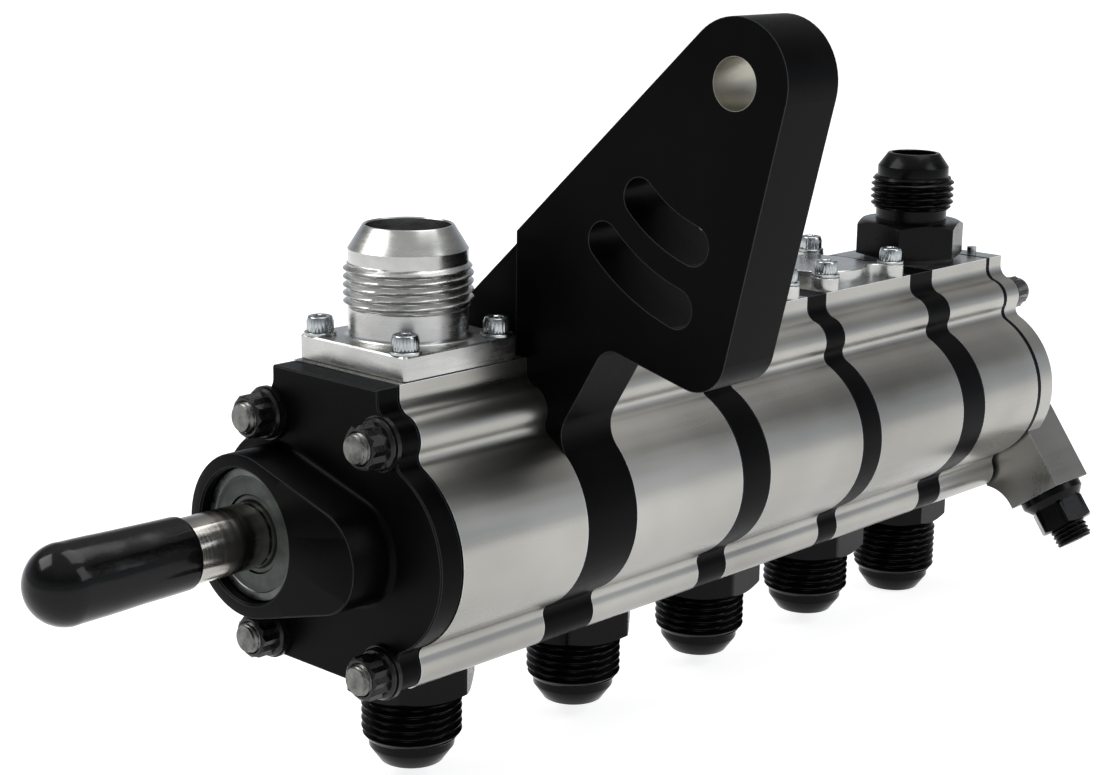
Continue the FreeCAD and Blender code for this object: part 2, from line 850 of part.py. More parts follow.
def through_studs():
    length = rear_face_y + 2 * stud_reach
    tip = stud_radius - stud_chamfer
    outline = [(0, 0), (tip, 0), (stud_radius, stud_chamfer), (stud_radius, length - stud_chamfer),
               (tip, length), (0, length)]
    return [turned(outline, V(x, -stud_reach, z), along) for x, z in stud_places]


def twelve_point_nut(base, way):
    seat = rod(nut_flange_radius, nut_flange_thickness, base, way)
    points = [prism(6, nut_across_flats, nut_height, base, way, turn) for turn in (0, 30)]
    hole = rod(stud_radius + fit_gap, nut_height + 2 * over, base - way * over, way)
    return fused([seat] + points).cut(hole)


def end_fasteners(face_y, way):
    washers = []
    nuts = []
    for x, z in stud_places:
        base = V(x, face_y, z)
        inner = stud_radius + stud_hole_gap
        washers.append(tube(stud_washer_radius, inner, stud_washer_thickness, base, way))
        nuts.append(twelve_point_nut(base + way * stud_washer_thickness, way))
    return washers, nuts


# Cap screws

def cap_screw(x, y, seat_z):
    base = V(x, y, seat_z)
    head = rod(screw_head_radius, screw_head_height, base, up)
    rim = [edge for edge in head.Edges if edge.BoundBox.ZMin > seat_z + screw_head_height / 2]
    head = head.makeFillet(screw_head_round, rim)
    socket_low = base + up * (screw_head_height - screw_socket_depth)
    socket = prism(6, screw_socket_across, screw_socket_depth + over, socket_low, up)
    shank = rod(screw_radius, screw_length, base - up * screw_length, up)
    return head.cut(socket).fuse(shank).removeSplitter()


def screws_and_washers(places, plate_thickness):
    seat = top_flat_z + plate_thickness
    hole = screw_radius + screw_hole_gap
    washers = [tube(screw_washer_radius, hole, screw_washer_thickness, V(x, y, seat), up)
               for x, y in places]
    screws = [cap_screw(x, y, seat + screw_washer_thickness) for x, y in places]
    return screws, washers


def plate_holes(places, thickness):
    radius = screw_radius + screw_hole_gap
    return [rod(radius, thickness + 2 * over, V(x, y, top_flat_z - over), up) for x, y in places]


# Fittings

def flare_height(wide, narrow):
    return (wide - narrow) / math.tan(math.radians(flare_degrees))


def flare_outline(start, neck_radius, neck_height, thread_radius, thread_height, relief_radius, relief_height,
                  nose_radius):
    # Corners from the neck up to the flared nose, as radius and height
    thread_low = start + neck_height
    thread_high = thread_low + thread_height
    relief_high = thread_high + relief_height
    nose = relief_high + flare_height(relief_radius, nose_radius)
    return [(neck_radius, start), (neck_radius, thread_low), (thread_radius, thread_low + thread_chamfer),
            (thread_radius, thread_high - thread_chamfer), (relief_radius, thread_high),
            (relief_radius, relief_high), (nose_radius, nose)]


def outlet_fitting():
    y = scavenge_y[0] + scavenge_length / 2
    base = V(0, y, top_flat_z)
    half = flange_side / 2
    flange = box((-half, half), (y - half, y + half), (top_flat_z, top_flat_z + flange_thickness))
    outline = flare_outline(flange_thickness, outlet_neck_radius, outlet_neck_height, outlet_thread_radius,
                            outlet_thread_height, outlet_relief_radius, outlet_relief_height,
                            outlet_nose_radius)
    foot = [(outlet_bore_radius, 0), (outlet_neck_radius + outlet_neck_fillet, 0),
            (outlet_neck_radius + outlet_neck_fillet, flange_thickness),
            (outlet_neck_radius, flange_thickness + outlet_neck_fillet)]
    body = turned(foot + outline[1:] + [(outlet_bore_radius, outline[-1][1])], base, up)
    bore = rod(outlet_bore_radius, flange_thickness + 2 * over, base - up * over, up)
    holes = plate_holes(flange_places(y), flange_thickness)
    return flange.cut([bore] + holes).fuse(body).removeSplitter()


def chamfered_hex(across, height, base, way, turn):
    corner = across / 2 / math.cos(math.pi / 6)
    rise = hex_chamfer * math.tan(math.radians(hex_chamfer_degrees))
    trim = [(0, 0), (corner, 0), (corner, height - rise), (corner - hex_chamfer, height), (0, height)]
    return prism(6, across, height, base, way, turn).common(turned(trim, base, way))


def hex_fitting(base, way, turn, across, neck, thread, relief):
    height = fitting_hex_height
    outline = flare_outline(height, fitting_relief_radius, neck, fitting_thread_radius, thread,
                            fitting_relief_radius, relief, fitting_nose_radius)
    foot = [(0, -port_seat_depth), (fitting_thread_radius - thread_chamfer, -port_seat_depth),
            (fitting_thread_radius, -port_seat_depth + thread_chamfer), (fitting_thread_radius, 0),
            (fitting_relief_radius, 0)]
    nose_height = outline[-1][1]
    body = turned(foot + outline[1:] + [(0, nose_height)], base, way)
    bore_length = port_seat_depth + nose_height + 2 * over
    bore = rod(fitting_bore_radius, bore_length, base - way * (port_seat_depth + over), way)
    hexagon = chamfered_hex(across, height, base, way, turn)
    return body.fuse(hexagon).removeSplitter().cut(bore)


def inlet_fitting(index):
    y, length = rotor_rooms()[index]
    base = V(0, y + length / 2, bottom_z)
    pressure = index == len(scavenge_y)
    across = pressure_inlet_hex_across if pressure else fitting_hex_across
    thread = pressure_inlet_thread_height if pressure else fitting_thread_height
    turn = -fitting_turns[index]
    return hex_fitting(base, up * -1, turn, across, fitting_neck_height, thread, fitting_relief_height)


def pressure_outlet_fitting():
    base = V(0, pressure_y + pressure_length / 2, top_flat_z + outlet_seal_thickness)
    return hex_fitting(base, up, pressure_outlet_turn, fitting_hex_across, pressure_outlet_neck_height,
                       pressure_outlet_thread_height, pressure_outlet_relief_height)


def pressure_outlet_seal():
    base = V(0, pressure_y + pressure_length / 2, top_flat_z)
    return tube(outlet_seal_radius, fitting_thread_radius + fit_gap, outlet_seal_thickness, base, up)


def port_cover(index):
    y = scavenge_y[index] + scavenge_length / 2
    centre = V(0, 0, 0)
    lobes = [V(x, 0, z) for x, z in ((1, 1), (-1, 1), (-1, -1), (1, -1))]
    lobes = [V(p.x * port_cover_screw_x, 0, p.z * port_cover_screw_y) for p in lobes]
    reach = port_cover_radius + port_cover_fillet
    lobe_reach = port_cover_lobe_radius + port_cover_fillet
    before = [fillet_centre(centre, reach, lobe, lobe_reach, -1) for lobe in lobes]
    after = [fillet_centre(centre, reach, lobe, lobe_reach, 1) for lobe in lobes]
    edges = []
    for i, lobe in enumerate(lobes):
        start = touch(lobe, before[i], port_cover_lobe_radius)
        end = touch(lobe, after[i], port_cover_lobe_radius)
        edges.append(short_arc(before[i], touch(centre, before[i], port_cover_radius), start))
        edges.append(through_arc(start, touch(lobe, lobe * 2, port_cover_lobe_radius), end))
        edges.append(short_arc(after[i], end, touch(centre, after[i], port_cover_radius)))
        following = before[(i + 1) % len(lobes)]
        edges.append(short_arc(centre, touch(centre, after[i], port_cover_radius),
                               touch(centre, following, port_cover_radius)))
    plate = face_of(edges).extrude(along * -port_cover_thickness)
    plate = plate.makeChamfer(edge_break, edges_at(plate, -port_cover_thickness))
    plate.rotate(V(0, 0, 0), V(1, 0, 0), -90)
    plate.translate(V(0, y, top_flat_z - plate.BoundBox.ZMin))
    return plate.cut(plate_holes(port_cover_places(y), port_cover_thickness))


# Pressure regulator

def regulator_cap():
    start = regulator_point(regulator_block_reach, 0, regulator_y)
    rim = regulator_flange_radius
    top = regulator_flange_thickness
    outline = [(0, 0), (rim, 0), (rim, top / 2), (rim - hex_chamfer, top), (0, top)]
    flange = turned(outline, start, regulator_way)
    head = top + regulator_hex_height
    hexagon = chamfered_hex(regulator_hex_across, head, start, regulator_way, 0)
    low = start - regulator_way * regulator_stub_length
    stub = rod(regulator_bore_radius - fit_gap, regulator_stub_length, low, regulator_way)
    hole_length = regulator_stub_length + head + 2 * over
    hole = rod(adjuster_radius + running_clearance, hole_length, low - regulator_way * over, regulator_way)
    return fused([flange, hexagon, stub]).cut(hole)


def regulator_top():
    return regulator_block_reach + regulator_flange_thickness + regulator_hex_height + adjuster_reach


def seat_start():
    return regulator_block_reach - regulator_stub_length


def regulator_spring_seat():
    base = regulator_point(seat_start(), 0, regulator_y)
    return rod(seat_radius, seat_thickness, base, regulator_way)


def regulator_adjuster():
    low = seat_start() + seat_thickness
    length = regulator_top() - low
    tip = adjuster_radius - adjuster_chamfer
    outline = [(0, 0), (tip, 0), (adjuster_radius, adjuster_chamfer),
               (adjuster_radius, length - adjuster_chamfer), (tip, length), (0, length)]
    screw = turned(outline, regulator_point(low, 0, regulator_y), regulator_way)
    socket_base = regulator_point(regulator_top() - adjuster_socket_depth, 0, regulator_y)
    socket = prism(6, adjuster_socket_across, adjuster_socket_depth + over, socket_base, regulator_way)
    return screw.cut(socket)


def poppet_end():
    return regulator_block_reach - regulator_bore_depth + poppet_end_gap


def regulator_poppet():
    outer = regulator_bore_radius - running_clearance
    inner = outer - poppet_wall
    outline = [(0, 0), (outer, 0), (outer, poppet_length), (inner, poppet_length),
               (inner, poppet_wall), (0, poppet_wall)]
    return turned(outline, regulator_point(poppet_end(), 0, regulator_y), regulator_way)


def regulator_spring():
    low = poppet_end() + poppet_wall
    height = seat_start() - low
    coil_height = height - 2 * spring_wire_radius - 2 * fit_gap
    helix = Part.makeHelix(coil_height / spring_turns, coil_height, spring_radius)
    section = Part.Wire(Part.makeCircle(spring_wire_radius, V(spring_radius, 0, 0), along))
    coil = Part.Wire(helix).makePipeShell([section], True, True)
    return placed(coil, regulator_point(low + spring_wire_radius + fit_gap, 0, regulator_y), regulator_way)


# Vinyl cap

def shaft_cap():
    outer = shaft_radius + running_clearance + cap_wall
    inner = shaft_radius + running_clearance
    mouth = cap_length
    share = math.sqrt(0.5)
    dome_middle = V(outer * share, 0, cap_dome * (1 - share))
    corners = [V(outer, 0, cap_dome), V(outer, 0, mouth), V(inner, 0, mouth),
               V(inner, 0, cap_end_wall), V(0, 0, cap_end_wall), V(0, 0, 0)]
    edges = [line(corners[i], corners[i + 1]) for i in range(len(corners) - 1)]
    edges.append(through_arc(corners[-1], dome_middle, corners[0]))
    solid = face_of(edges).revolve(V(0, 0, 0), up, 360)
    tip = V(drive_x, shaft_tip_y - running_clearance - cap_end_wall, 0)
    return placed(solid, tip, along)


def save_pair(names, lobes, y, length, curve_points):
    # The driven one stands half a lobe on, so that its valley takes the other's lobe
    for name, centre_x, first in ((names[0], drive_x, 0), (names[1], idler_x, 180 + 180 / lobes)):
        save(name, rotor(lobes, centre_x, y, length, first, curve_points))


def main():
    os.makedirs("parts", exist_ok=True)
    save("front_cover", front_cover())
    for index in range(len(scavenge_y)):
        save("stage_housing_%d" % (index + 1), scavenge_housing(index))
    save("stage_housing_5", pressure_housing())
    save("mount_bracket", mount_bracket())
    thicknesses = (wide_divider, narrow_divider, wide_divider)
    for index, thickness in enumerate(thicknesses):
        with_gallery = index < len(thicknesses) - 1
        save("divider_plate_%d" % (index + 2), divider(divider_y[index + 1], thickness, with_gallery))
    save("rear_seal_plate", rear_plate())
    save("rear_cover", rear_cover())
    save("rear_cover_plug", rear_cover_plug())
    save("bearing_outer_ring", outer_ring())
    save("bearing_inner_ring", inner_ring())
    save("bearing_balls", Part.makeCompound(bearing_balls()))
    save("bearing_shields", Part.makeCompound(bearing_shields()))
    save("shaft_seal", shaft_seal())
    save("shaft_bushings", Part.makeCompound(bushings()))
    save("through_studs", Part.makeCompound(through_studs()))
    for place, face_y, way in (("front", 0, along * -1), ("rear", rear_face_y, along)):
        washers, nuts = end_fasteners(face_y, way)
        save(place + "_washers", Part.makeCompound(washers))
        save(place + "_nuts", Part.makeCompound(nuts))
    save("outlet_fitting", outlet_fitting())
    places = flange_places(scavenge_y[0] + scavenge_length / 2)
    screws, washers = screws_and_washers(places, flange_thickness)
    save("outlet_flange_screws", Part.makeCompound(screws))
    save("outlet_flange_washers", Part.makeCompound(washers))
    places = []
    for index in (2, 3):
        save("port_cover_%d" % (index + 1), port_cover(index))
        places += port_cover_places(scavenge_y[index] + scavenge_length / 2)
    screws, washers = screws_and_washers(places, port_cover_thickness)
    save("port_cover_screws", Part.makeCompound(screws))
    save("port_cover_washers", Part.makeCompound(washers))
    for index in range(len(rotor_rooms())):
        save("inlet_fitting_%d" % (index + 1), inlet_fitting(index))
    save("pressure_outlet_fitting", pressure_outlet_fitting())
    save("pressure_outlet_seal", pressure_outlet_seal())
    save("regulator_cap", regulator_cap())
    save("regulator_adjuster", regulator_adjuster())
    save("regulator_spring_seat", regulator_spring_seat())
    save("regulator_spring", regulator_spring())
    save("regulator_poppet", regulator_poppet())
    save("drive_shaft", drive_shaft())
    save("idler_shaft", idler_shaft())
    save("drive_keys", Part.makeCompound(keys(drive_x)))
    save("idler_keys", Part.makeCompound(keys(idler_x)))
    for index, y in enumerate(scavenge_y):
        names = ("drive_rotor_%d" % (index + 1), "driven_rotor_%d" % (index + 1))
        save_pair(names, scavenge_lobes, y, scavenge_length, scavenge_curve_points)
    names = ("drive_gear", "driven_gear")
    save_pair(names, pressure_teeth, pressure_y, pressure_length, pressure_curve_points)
    save("shaft_cap", shaft_cap())


main()
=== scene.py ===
import bpy
import bmesh
import json
import math
from mathutils import Matrix, Vector


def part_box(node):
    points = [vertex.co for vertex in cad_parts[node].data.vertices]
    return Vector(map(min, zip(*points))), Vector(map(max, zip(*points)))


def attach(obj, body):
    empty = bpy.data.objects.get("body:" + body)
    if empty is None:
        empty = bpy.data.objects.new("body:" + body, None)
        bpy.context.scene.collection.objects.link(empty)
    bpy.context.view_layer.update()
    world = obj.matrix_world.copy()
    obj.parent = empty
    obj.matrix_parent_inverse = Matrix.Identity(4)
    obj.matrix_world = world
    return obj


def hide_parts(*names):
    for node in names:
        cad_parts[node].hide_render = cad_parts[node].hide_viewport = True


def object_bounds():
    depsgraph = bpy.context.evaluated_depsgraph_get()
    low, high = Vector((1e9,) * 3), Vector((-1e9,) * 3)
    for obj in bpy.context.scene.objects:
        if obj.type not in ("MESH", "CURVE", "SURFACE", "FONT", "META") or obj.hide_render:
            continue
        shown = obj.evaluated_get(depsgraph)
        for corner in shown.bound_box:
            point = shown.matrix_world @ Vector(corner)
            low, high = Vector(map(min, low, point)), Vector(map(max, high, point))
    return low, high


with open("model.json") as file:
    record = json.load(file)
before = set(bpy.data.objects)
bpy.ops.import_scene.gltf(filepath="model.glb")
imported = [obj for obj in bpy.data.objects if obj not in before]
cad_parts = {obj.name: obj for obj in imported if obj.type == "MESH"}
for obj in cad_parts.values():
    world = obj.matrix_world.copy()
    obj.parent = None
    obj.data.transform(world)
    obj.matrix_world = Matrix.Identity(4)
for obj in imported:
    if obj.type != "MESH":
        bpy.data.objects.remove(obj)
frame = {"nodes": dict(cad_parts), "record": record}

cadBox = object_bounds()
turnSteps = 144  # points round a turned piece, so corners every 2.5 degrees
mm = 0.001


# Small helpers

def middle(box):
    return (box[0] + box[1]) / 2


def boxOf(node):
    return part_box(node)


def solidBoxes(node):
    # The lowest and highest corner of each separate solid in a node, left to right
    work = bmesh.new()
    work.from_mesh(frame["nodes"][node].data)
    bmesh.ops.remove_doubles(work, verts=work.verts, dist=1e-6)
    work.verts.ensure_lookup_table()
    seen, boxes = set(), []
    for start in work.verts:
        if start in seen:
            continue
        island, queue = [], [start]
        seen.add(start)
        while queue:
            vert = queue.pop()
            island.append(vert.co.copy())
            for edge in vert.link_edges:
                other = edge.other_vert(vert)
                if other not in seen:
                    seen.add(other)
                    queue.append(other)
        low = Vector([min(p[k] for p in island) for k in range(3)])
        high = Vector([max(p[k] for p in island) for k in range(3)])
        boxes.append((low, high))
    work.free()
    return sorted(boxes, key=lambda box: tuple(round(c, 5) for c in box[0]))


def standOn(base, way):
    # Turns a piece made along +Z to point along way, and moves it to base
    turn = Vector((0, 0, 1)).rotation_difference(Vector(way)).to_matrix().to_4x4()
    return Matrix.Translation(base) @ turn


def evenAngles(steps=turnSteps):
    return [2 * math.pi * i / steps for i in range(steps)]


def ringPoints(ring, angles):
    radius, height = ring[:2]
    if isinstance(radius, list):
        return [(x, y, height) for x, y in radius]
    points = []
    for angle in angles:
        r = radius(angle) if callable(radius) else radius
        z = height(angle) if callable(height) else height
        points.append((r * math.cos(angle), r * math.sin(angle), z))
    return points


def ringLoft(name, parts, smoothDegrees=32):
    # One object from several closed skins; each part is (rings, angles, place, loops round or capped)
    # A ring is (radius, height), and a third item gives the band before it the second material
    work = bmesh.new()
    for rings, angles, place, loops in parts:
        rows = []
        for ring in rings:
            rows.append([work.verts.new(place @ Vector(p)) for p in ringPoints(ring, angles)])
        pairs = [(rows[i], rows[i + 1], len(rings[i + 1]) > 2) for i in range(len(rows) - 1)]
        if loops:
            pairs.append((rows[-1], rows[0], False))
        count = len(angles)
        for lower, upper, isEdge in pairs:
            for k in range(count):
                n = (k + 1) % count
                face = work.faces.new((lower[k], lower[n], upper[n], upper[k]))
                face.material_index = 1 if isEdge else 0
        if not loops:
            work.faces.new(list(reversed(rows[0])))
            work.faces.new(rows[-1])
    bmesh.ops.recalc_face_normals(work, faces=work.faces)
    mesh = bpy.data.meshes.new(name)
    work.to_mesh(mesh)
    work.free()
    mesh.shade_smooth()
    mesh.set_sharp_from_angle(angle=math.radians(smoothDegrees))
    piece = bpy.data.objects.new(name, mesh)
    bpy.context.scene.collection.objects.link(piece)
    return piece


def finishPiece(piece, body, material, slotName, *nodes, edge=None):
    piece.data.materials.clear()
    piece.data.materials.append(material)
    if edge:
        piece.data.materials.append(edge)
    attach(piece, body)
    if nodes:
        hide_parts(*nodes)
    return piece


def hexRadius(across, turn=0.0, sides=6):
    def radius(angle):
        step = 2 * math.pi / sides
        local = (angle - turn + step / 2) % step - step / 2
        return across / 2 / math.cos(local)
    return radius


def starRadius(across, turn=0.0):
    # Twelve points: two hexagons laid over each other
    first = hexRadius(across, turn)
    second = hexRadius(across, turn + math.pi / 6)
    return lambda angle: max(first(angle), second(angle))


def cornerDrop(shape, start, slope):
    # How far a turned chamfer cuts down at each angle
    return lambda angle: max(0.0, shape(angle) - start) * slope


def farthestHit(segments):
    # Distance from the centre to the outermost of some (x, y) segments, at any angle
    known = {}

    def radius(angle):
        if angle not in known:
            ux, uy = math.cos(angle), math.sin(angle)
            best = 0.0
            for (x0, y0), (x1, y1) in segments:
                dx, dy = x1 - x0, y1 - y0
                cross = ux * dy - uy * dx
                if abs(cross) < 1e-12:
                    continue
                share = (x0 * uy - y0 * ux) / cross
                if -1e-6 <= share <= 1 + 1e-6:
                    best = max(best, (x0 * dy - y0 * dx) / cross)
            known[angle] = best
        return known[angle]

    return radius


def grown(shape, by):
    return lambda angle: shape(angle) + by


def hullSegments(first, second, gap, steps=60):
    # Outline round a circle at the centre and a smaller one beside it, joined by straight sides
    lean = math.acos((first - second) / gap)
    points = []
    for i in range(steps + 1):
        angle = lean + (2 * math.pi - 2 * lean) * i / steps
        points.append((first * math.cos(angle), first * math.sin(angle)))
    for i in range(steps + 1):
        angle = -lean + 2 * lean * i / steps
        points.append((gap + second * math.cos(angle), second * math.sin(angle)))
    return list(zip(points, points[1:] + points[:1]))


def endSegments(node, y, centre):
    # Edges round the flat end of a frame node at height y, as (x, z) from a centre
    work = bmesh.new()
    work.from_mesh(frame["nodes"][node].data)
    bmesh.ops.remove_doubles(work, verts=work.verts, dist=1e-6)
    segments = []
    for edge in work.edges:
        if all(abs(vert.co.y - y) < 1e-5 for vert in edge.verts):
            flat = [face for face in edge.link_faces if abs(face.normal.y) > 0.99]
            if len(flat) == 1:
                segments.append([(vert.co.x - centre.x, vert.co.z - centre.z) for vert in edge.verts])
    work.free()
    return segments


def cornerAngles(segments, shape):
    # Even steps with the outline's own corners added
    angles = evenAngles()
    for segment in segments:
        for x, y in segment:
            angle = math.atan2(y, x) % (2 * math.pi)
            if math.hypot(x, y) > shape(angle) - 1e-5:
                angles.append(angle)
    kept = []
    for angle in sorted(angles):
        if not kept or angle - kept[-1] > 1e-3:
            kept.append(angle)
    return kept


def facing(base, way):
    # Place whose height runs along +Y (way 1) or -Y (way -1) and whose ring starts towards +X
    turn = Matrix(((1, 0, 0), (0, 0, way), (0, -way, 0)))
    return Matrix.Translation(base) @ turn.to_4x4()


def threadRings(radius, depth, pitch, low, high, chamfer, rowsPerTurn=10):
    # Rows of a real helical thread between two heights, with a chamfer at both ends
    rows = max(2, int((high - low) / pitch * rowsPerTurn))
    rings = []
    for i in range(rows + 1):
        z = low + (high - low) * i / rows
        lead = min(z - low, high - z)
        crest = radius - depth * max(0.0, 1 - lead / chamfer)

        def shape(angle, z=z, crest=crest):
            share = ((z - low) / pitch - angle / (2 * math.pi)) % 1.0
            groove = min(1.0, max(0.0, (1 - abs(share - 0.5) * 2 - 0.1) / 0.8))
            return min(crest, radius - depth * groove)

        rings.append((shape, z))
    return rings


# Materials

def newMaterial(name):
    material = bpy.data.materials.new(name)
    material.use_nodes = True
    nodes, links = material.node_tree.nodes, material.node_tree.links
    shader = nodes["Principled BSDF"]
    return material, nodes, links, shader


def stretchedNoise(nodes, links, stretch, scale, detail=4.0, rough=0.55):
    place = nodes.new("ShaderNodeTexCoord")
    mapping = nodes.new("ShaderNodeMapping")
    noise = nodes.new("ShaderNodeTexNoise")
    mapping.inputs["Scale"].default_value = stretch
    noise.inputs["Scale"].default_value = scale
    noise.inputs["Detail"].default_value = detail
    noise.inputs["Roughness"].default_value = rough
    links.new(place.outputs["Object"], mapping.inputs["Vector"])
    links.new(mapping.outputs["Vector"], noise.inputs["Vector"])
    return noise.outputs["Fac"]


def ranged(nodes, links, value, low, high, fromLow=0.3, fromHigh=0.7):
    node = nodes.new("ShaderNodeMapRange")
    node.inputs["From Min"].default_value = fromLow
    node.inputs["From Max"].default_value = fromHigh
    node.inputs["To Min"].default_value = low
    node.inputs["To Max"].default_value = high
    links.new(value, node.inputs["Value"])
    return node.outputs["Result"]


def toned(nodes, links, value, dark, light, fromLow=0.3, fromHigh=0.7):
    ramp = nodes.new("ShaderNodeValToRGB")
    ramp.color_ramp.elements[0].position = fromLow
    ramp.color_ramp.elements[1].position = fromHigh
    ramp.color_ramp.elements[0].color = (*dark, 1)
    ramp.color_ramp.elements[1].color = (*light, 1)
    links.new(value, ramp.inputs["Fac"])
    return ramp.outputs["Color"]


def bumped(nodes, links, shader, value, strength, distance, normal=None):
    bump = nodes.new("ShaderNodeBump")
    bump.inputs["Strength"].default_value = strength
    bump.inputs["Distance"].default_value = distance
    links.new(value, bump.inputs["Height"])
    if normal is not None:
        links.new(normal, bump.inputs["Normal"])
    links.new(bump.outputs["Normal"], shader.inputs["Normal"])
    return bump.outputs["Normal"]


def added(nodes, links, first, second):
    node = nodes.new("ShaderNodeMath")
    node.operation = "ADD"
    links.new(first, node.inputs[0])
    links.new(second, node.inputs[1])
    return node.outputs["Value"]


def mixed(nodes, links, share, first, second):
    mix = nodes.new("ShaderNodeMix")
    mix.data_type = "RGBA"
    links.new(share, mix.inputs["Factor"])
    links.new(first, mix.inputs["A"])
    mix.inputs["B"].default_value = (*second, 1)
    return mix.outputs["Result"]


def edgeMask(nodes, links, radius):
    # 1 on an edge, where the rounded normal leaves the flat one; the colour laid there is a painted highlight
    bevel = nodes.new("ShaderNodeBevel")
    bevel.samples = 4
    bevel.inputs["Radius"].default_value = radius
    flat = nodes.new("ShaderNodeNewGeometry")
    dot = nodes.new("ShaderNodeVectorMath")
    dot.operation = "DOT_PRODUCT"
    links.new(bevel.outputs["Normal"], dot.inputs[0])
    links.new(flat.outputs["Normal"], dot.inputs[1])
    return ranged(nodes, links, dot.outputs["Value"], 1.0, 0.0, 0.90, 0.995)


def nearAxis(nodes, links, radius):
    # 1 inside a radius from the frame's Y axis, which is the pivot bore's
    place = nodes.new("ShaderNodeTexCoord")
    flatten = nodes.new("ShaderNodeVectorMath")
    flatten.operation = "MULTIPLY"
    flatten.inputs[1].default_value = (1, 0, 1)
    length = nodes.new("ShaderNodeVectorMath")
    length.operation = "LENGTH"
    links.new(place.outputs["Object"], flatten.inputs[0])
    links.new(flatten.outputs["Vector"], length.inputs[0])
    return ranged(nodes, links, length.outputs["Value"], 1.0, 0.0, radius, radius + 0.02 * mm)


edgeTone = (0.045, 0.047, 0.052)  # painted highlight along the edges of the black finish
bareTone = (0.34, 0.325, 0.28)  # steel-grey bore with a warm cast


def metalFinish(name, look):
    # A metal with cutter marks along one direction, cloudy tone and uneven polish
    material, nodes, links, shader = newMaterial(name)
    clouds = stretchedNoise(nodes, links, (1, 1, 1), look["cloudScale"], 3.0)
    marks = stretchedNoise(nodes, links, look["markStretch"], 1.0, 3.0, 0.6)
    colour = toned(nodes, links, clouds, look["dark"], look["light"])
    # A look with an edge radius gets a painted highlight colour along its edges
    if "edge" in look:
        paintedHighlightMask = edgeMask(nodes, links, look["edge"])
        colour = mixed(nodes, links, paintedHighlightMask, colour, look.get("edgeTone", edgeTone))
    if "bareRadius" in look:
        bare = nearAxis(nodes, links, look["bareRadius"])
        colour = mixed(nodes, links, bare, colour, bareTone)
        links.new(bare, shader.inputs["Metallic"])
    links.new(colour, shader.inputs["Base Color"])
    polish = added(nodes, links, ranged(nodes, links, marks, *look["roughness"]),
                   ranged(nodes, links, clouds, -look["patchiness"], look["patchiness"]))
    links.new(polish, shader.inputs["Roughness"])
    bumped(nodes, links, shader, marks, look["bump"], look["bumpDepth"])
    if "bareRadius" not in look:
        shader.inputs["Metallic"].default_value = look["metallic"]
    shader.inputs["Specular IOR Level"].default_value = look.get("specular", 0.5)
    return material


# The housing's bluish-white edge tone is a painted highlight along its edges
housingLook = {"dark": (0.265, 0.26, 0.243), "light": (0.39, 0.383, 0.36), "cloudScale": 16.0,
               "markStretch": (110, 5, 110), "roughness": (0.24, 0.36), "patchiness": 0.03,
               "bump": 0.02, "bumpDepth": 0.0002, "metallic": 1.0,
               "edge": 0.0003, "edgeTone": (0.72, 0.77, 0.86)}
flangeLook = {"dark": (0.36, 0.362, 0.355), "light": (0.50, 0.502, 0.49), "cloudScale": 60.0,
              "markStretch": (90, 90, 700), "roughness": (0.22, 0.32), "patchiness": 0.03,
              "bump": 0.02, "bumpDepth": 0.0002, "metallic": 1.0}
anodisedLook = {"dark": (0.0006, 0.0006, 0.0007), "light": (0.0016, 0.0016, 0.0017), "cloudScale": 40.0,
                "markStretch": (900, 900, 900), "roughness": (0.3, 0.4), "patchiness": 0.03,
                "bump": 0.08, "bumpDepth": 0.0001, "metallic": 0.0, "specular": 0.035, "edge": 0.0004}
fittingLook = {"dark": (0.0008, 0.0008, 0.0009), "light": (0.002, 0.002, 0.0021), "cloudScale": 80.0,
               "markStretch": (500, 500, 1800), "roughness": (0.18, 0.28), "patchiness": 0.03,
               "bump": 0.08, "bumpDepth": 0.0001, "metallic": 0.0, "specular": 0.1}
nutLook = {"dark": (0.002, 0.002, 0.002), "light": (0.007, 0.007, 0.0065), "cloudScale": 300.0,
           "markStretch": (1500, 1500, 1500), "roughness": (0.2, 0.32), "patchiness": 0.04,
           "bump": 0.2, "bumpDepth": 0.0001, "metallic": 0.0, "specular": 0.25}
zincLook = {"dark": (0.27, 0.29, 0.295), "light": (0.44, 0.46, 0.47), "cloudScale": 500.0,
            "markStretch": (900, 900, 400), "roughness": (0.18, 0.3), "patchiness": 0.05,
            "bump": 0.15, "bumpDepth": 0.0001, "metallic": 1.0}
shaftLook = {"dark": (0.36, 0.345, 0.32), "light": (0.52, 0.50, 0.465), "cloudScale": 90.0,
             "markStretch": (60, 2600, 60), "roughness": (0.12, 0.22), "patchiness": 0.03,
             "bump": 0.08, "bumpDepth": 0.0001, "metallic": 1.0}
studLook = {"dark": (0.07, 0.07, 0.068), "light": (0.18, 0.178, 0.17), "cloudScale": 400.0,
            "markStretch": (1600, 300, 1600), "roughness": (0.26, 0.4), "patchiness": 0.04,
            "bump": 0.2, "bumpDepth": 0.0001, "metallic": 1.0}
shieldLook = {"dark": (0.014, 0.018, 0.016), "light": (0.055, 0.064, 0.059), "cloudScale": 160.0,
              "markStretch": (600, 600, 600), "roughness": (0.4, 0.55), "patchiness": 0.05,
              "bump": 0.15, "bumpDepth": 0.0001, "metallic": 0.3, "specular": 0.4}
ringLook = {"dark": (0.05, 0.054, 0.053), "light": (0.12, 0.125, 0.12), "cloudScale": 200.0,
            "markStretch": (500, 500, 500), "roughness": (0.25, 0.38), "patchiness": 0.04,
            "bump": 0.1, "bumpDepth": 0.0001, "metallic": 1.0}
# Grey metal for the chamfer bands of the black front cover: a painted highlight on its edges
chamferHighlightLook = {"dark": (0.10, 0.10, 0.105), "light": (0.26, 0.26, 0.26), "cloudScale": 220.0,
            "markStretch": (300, 300, 300), "roughness": (0.28, 0.4), "patchiness": 0.04,
            "bump": 0.05, "bumpDepth": 0.0001, "metallic": 1.0}
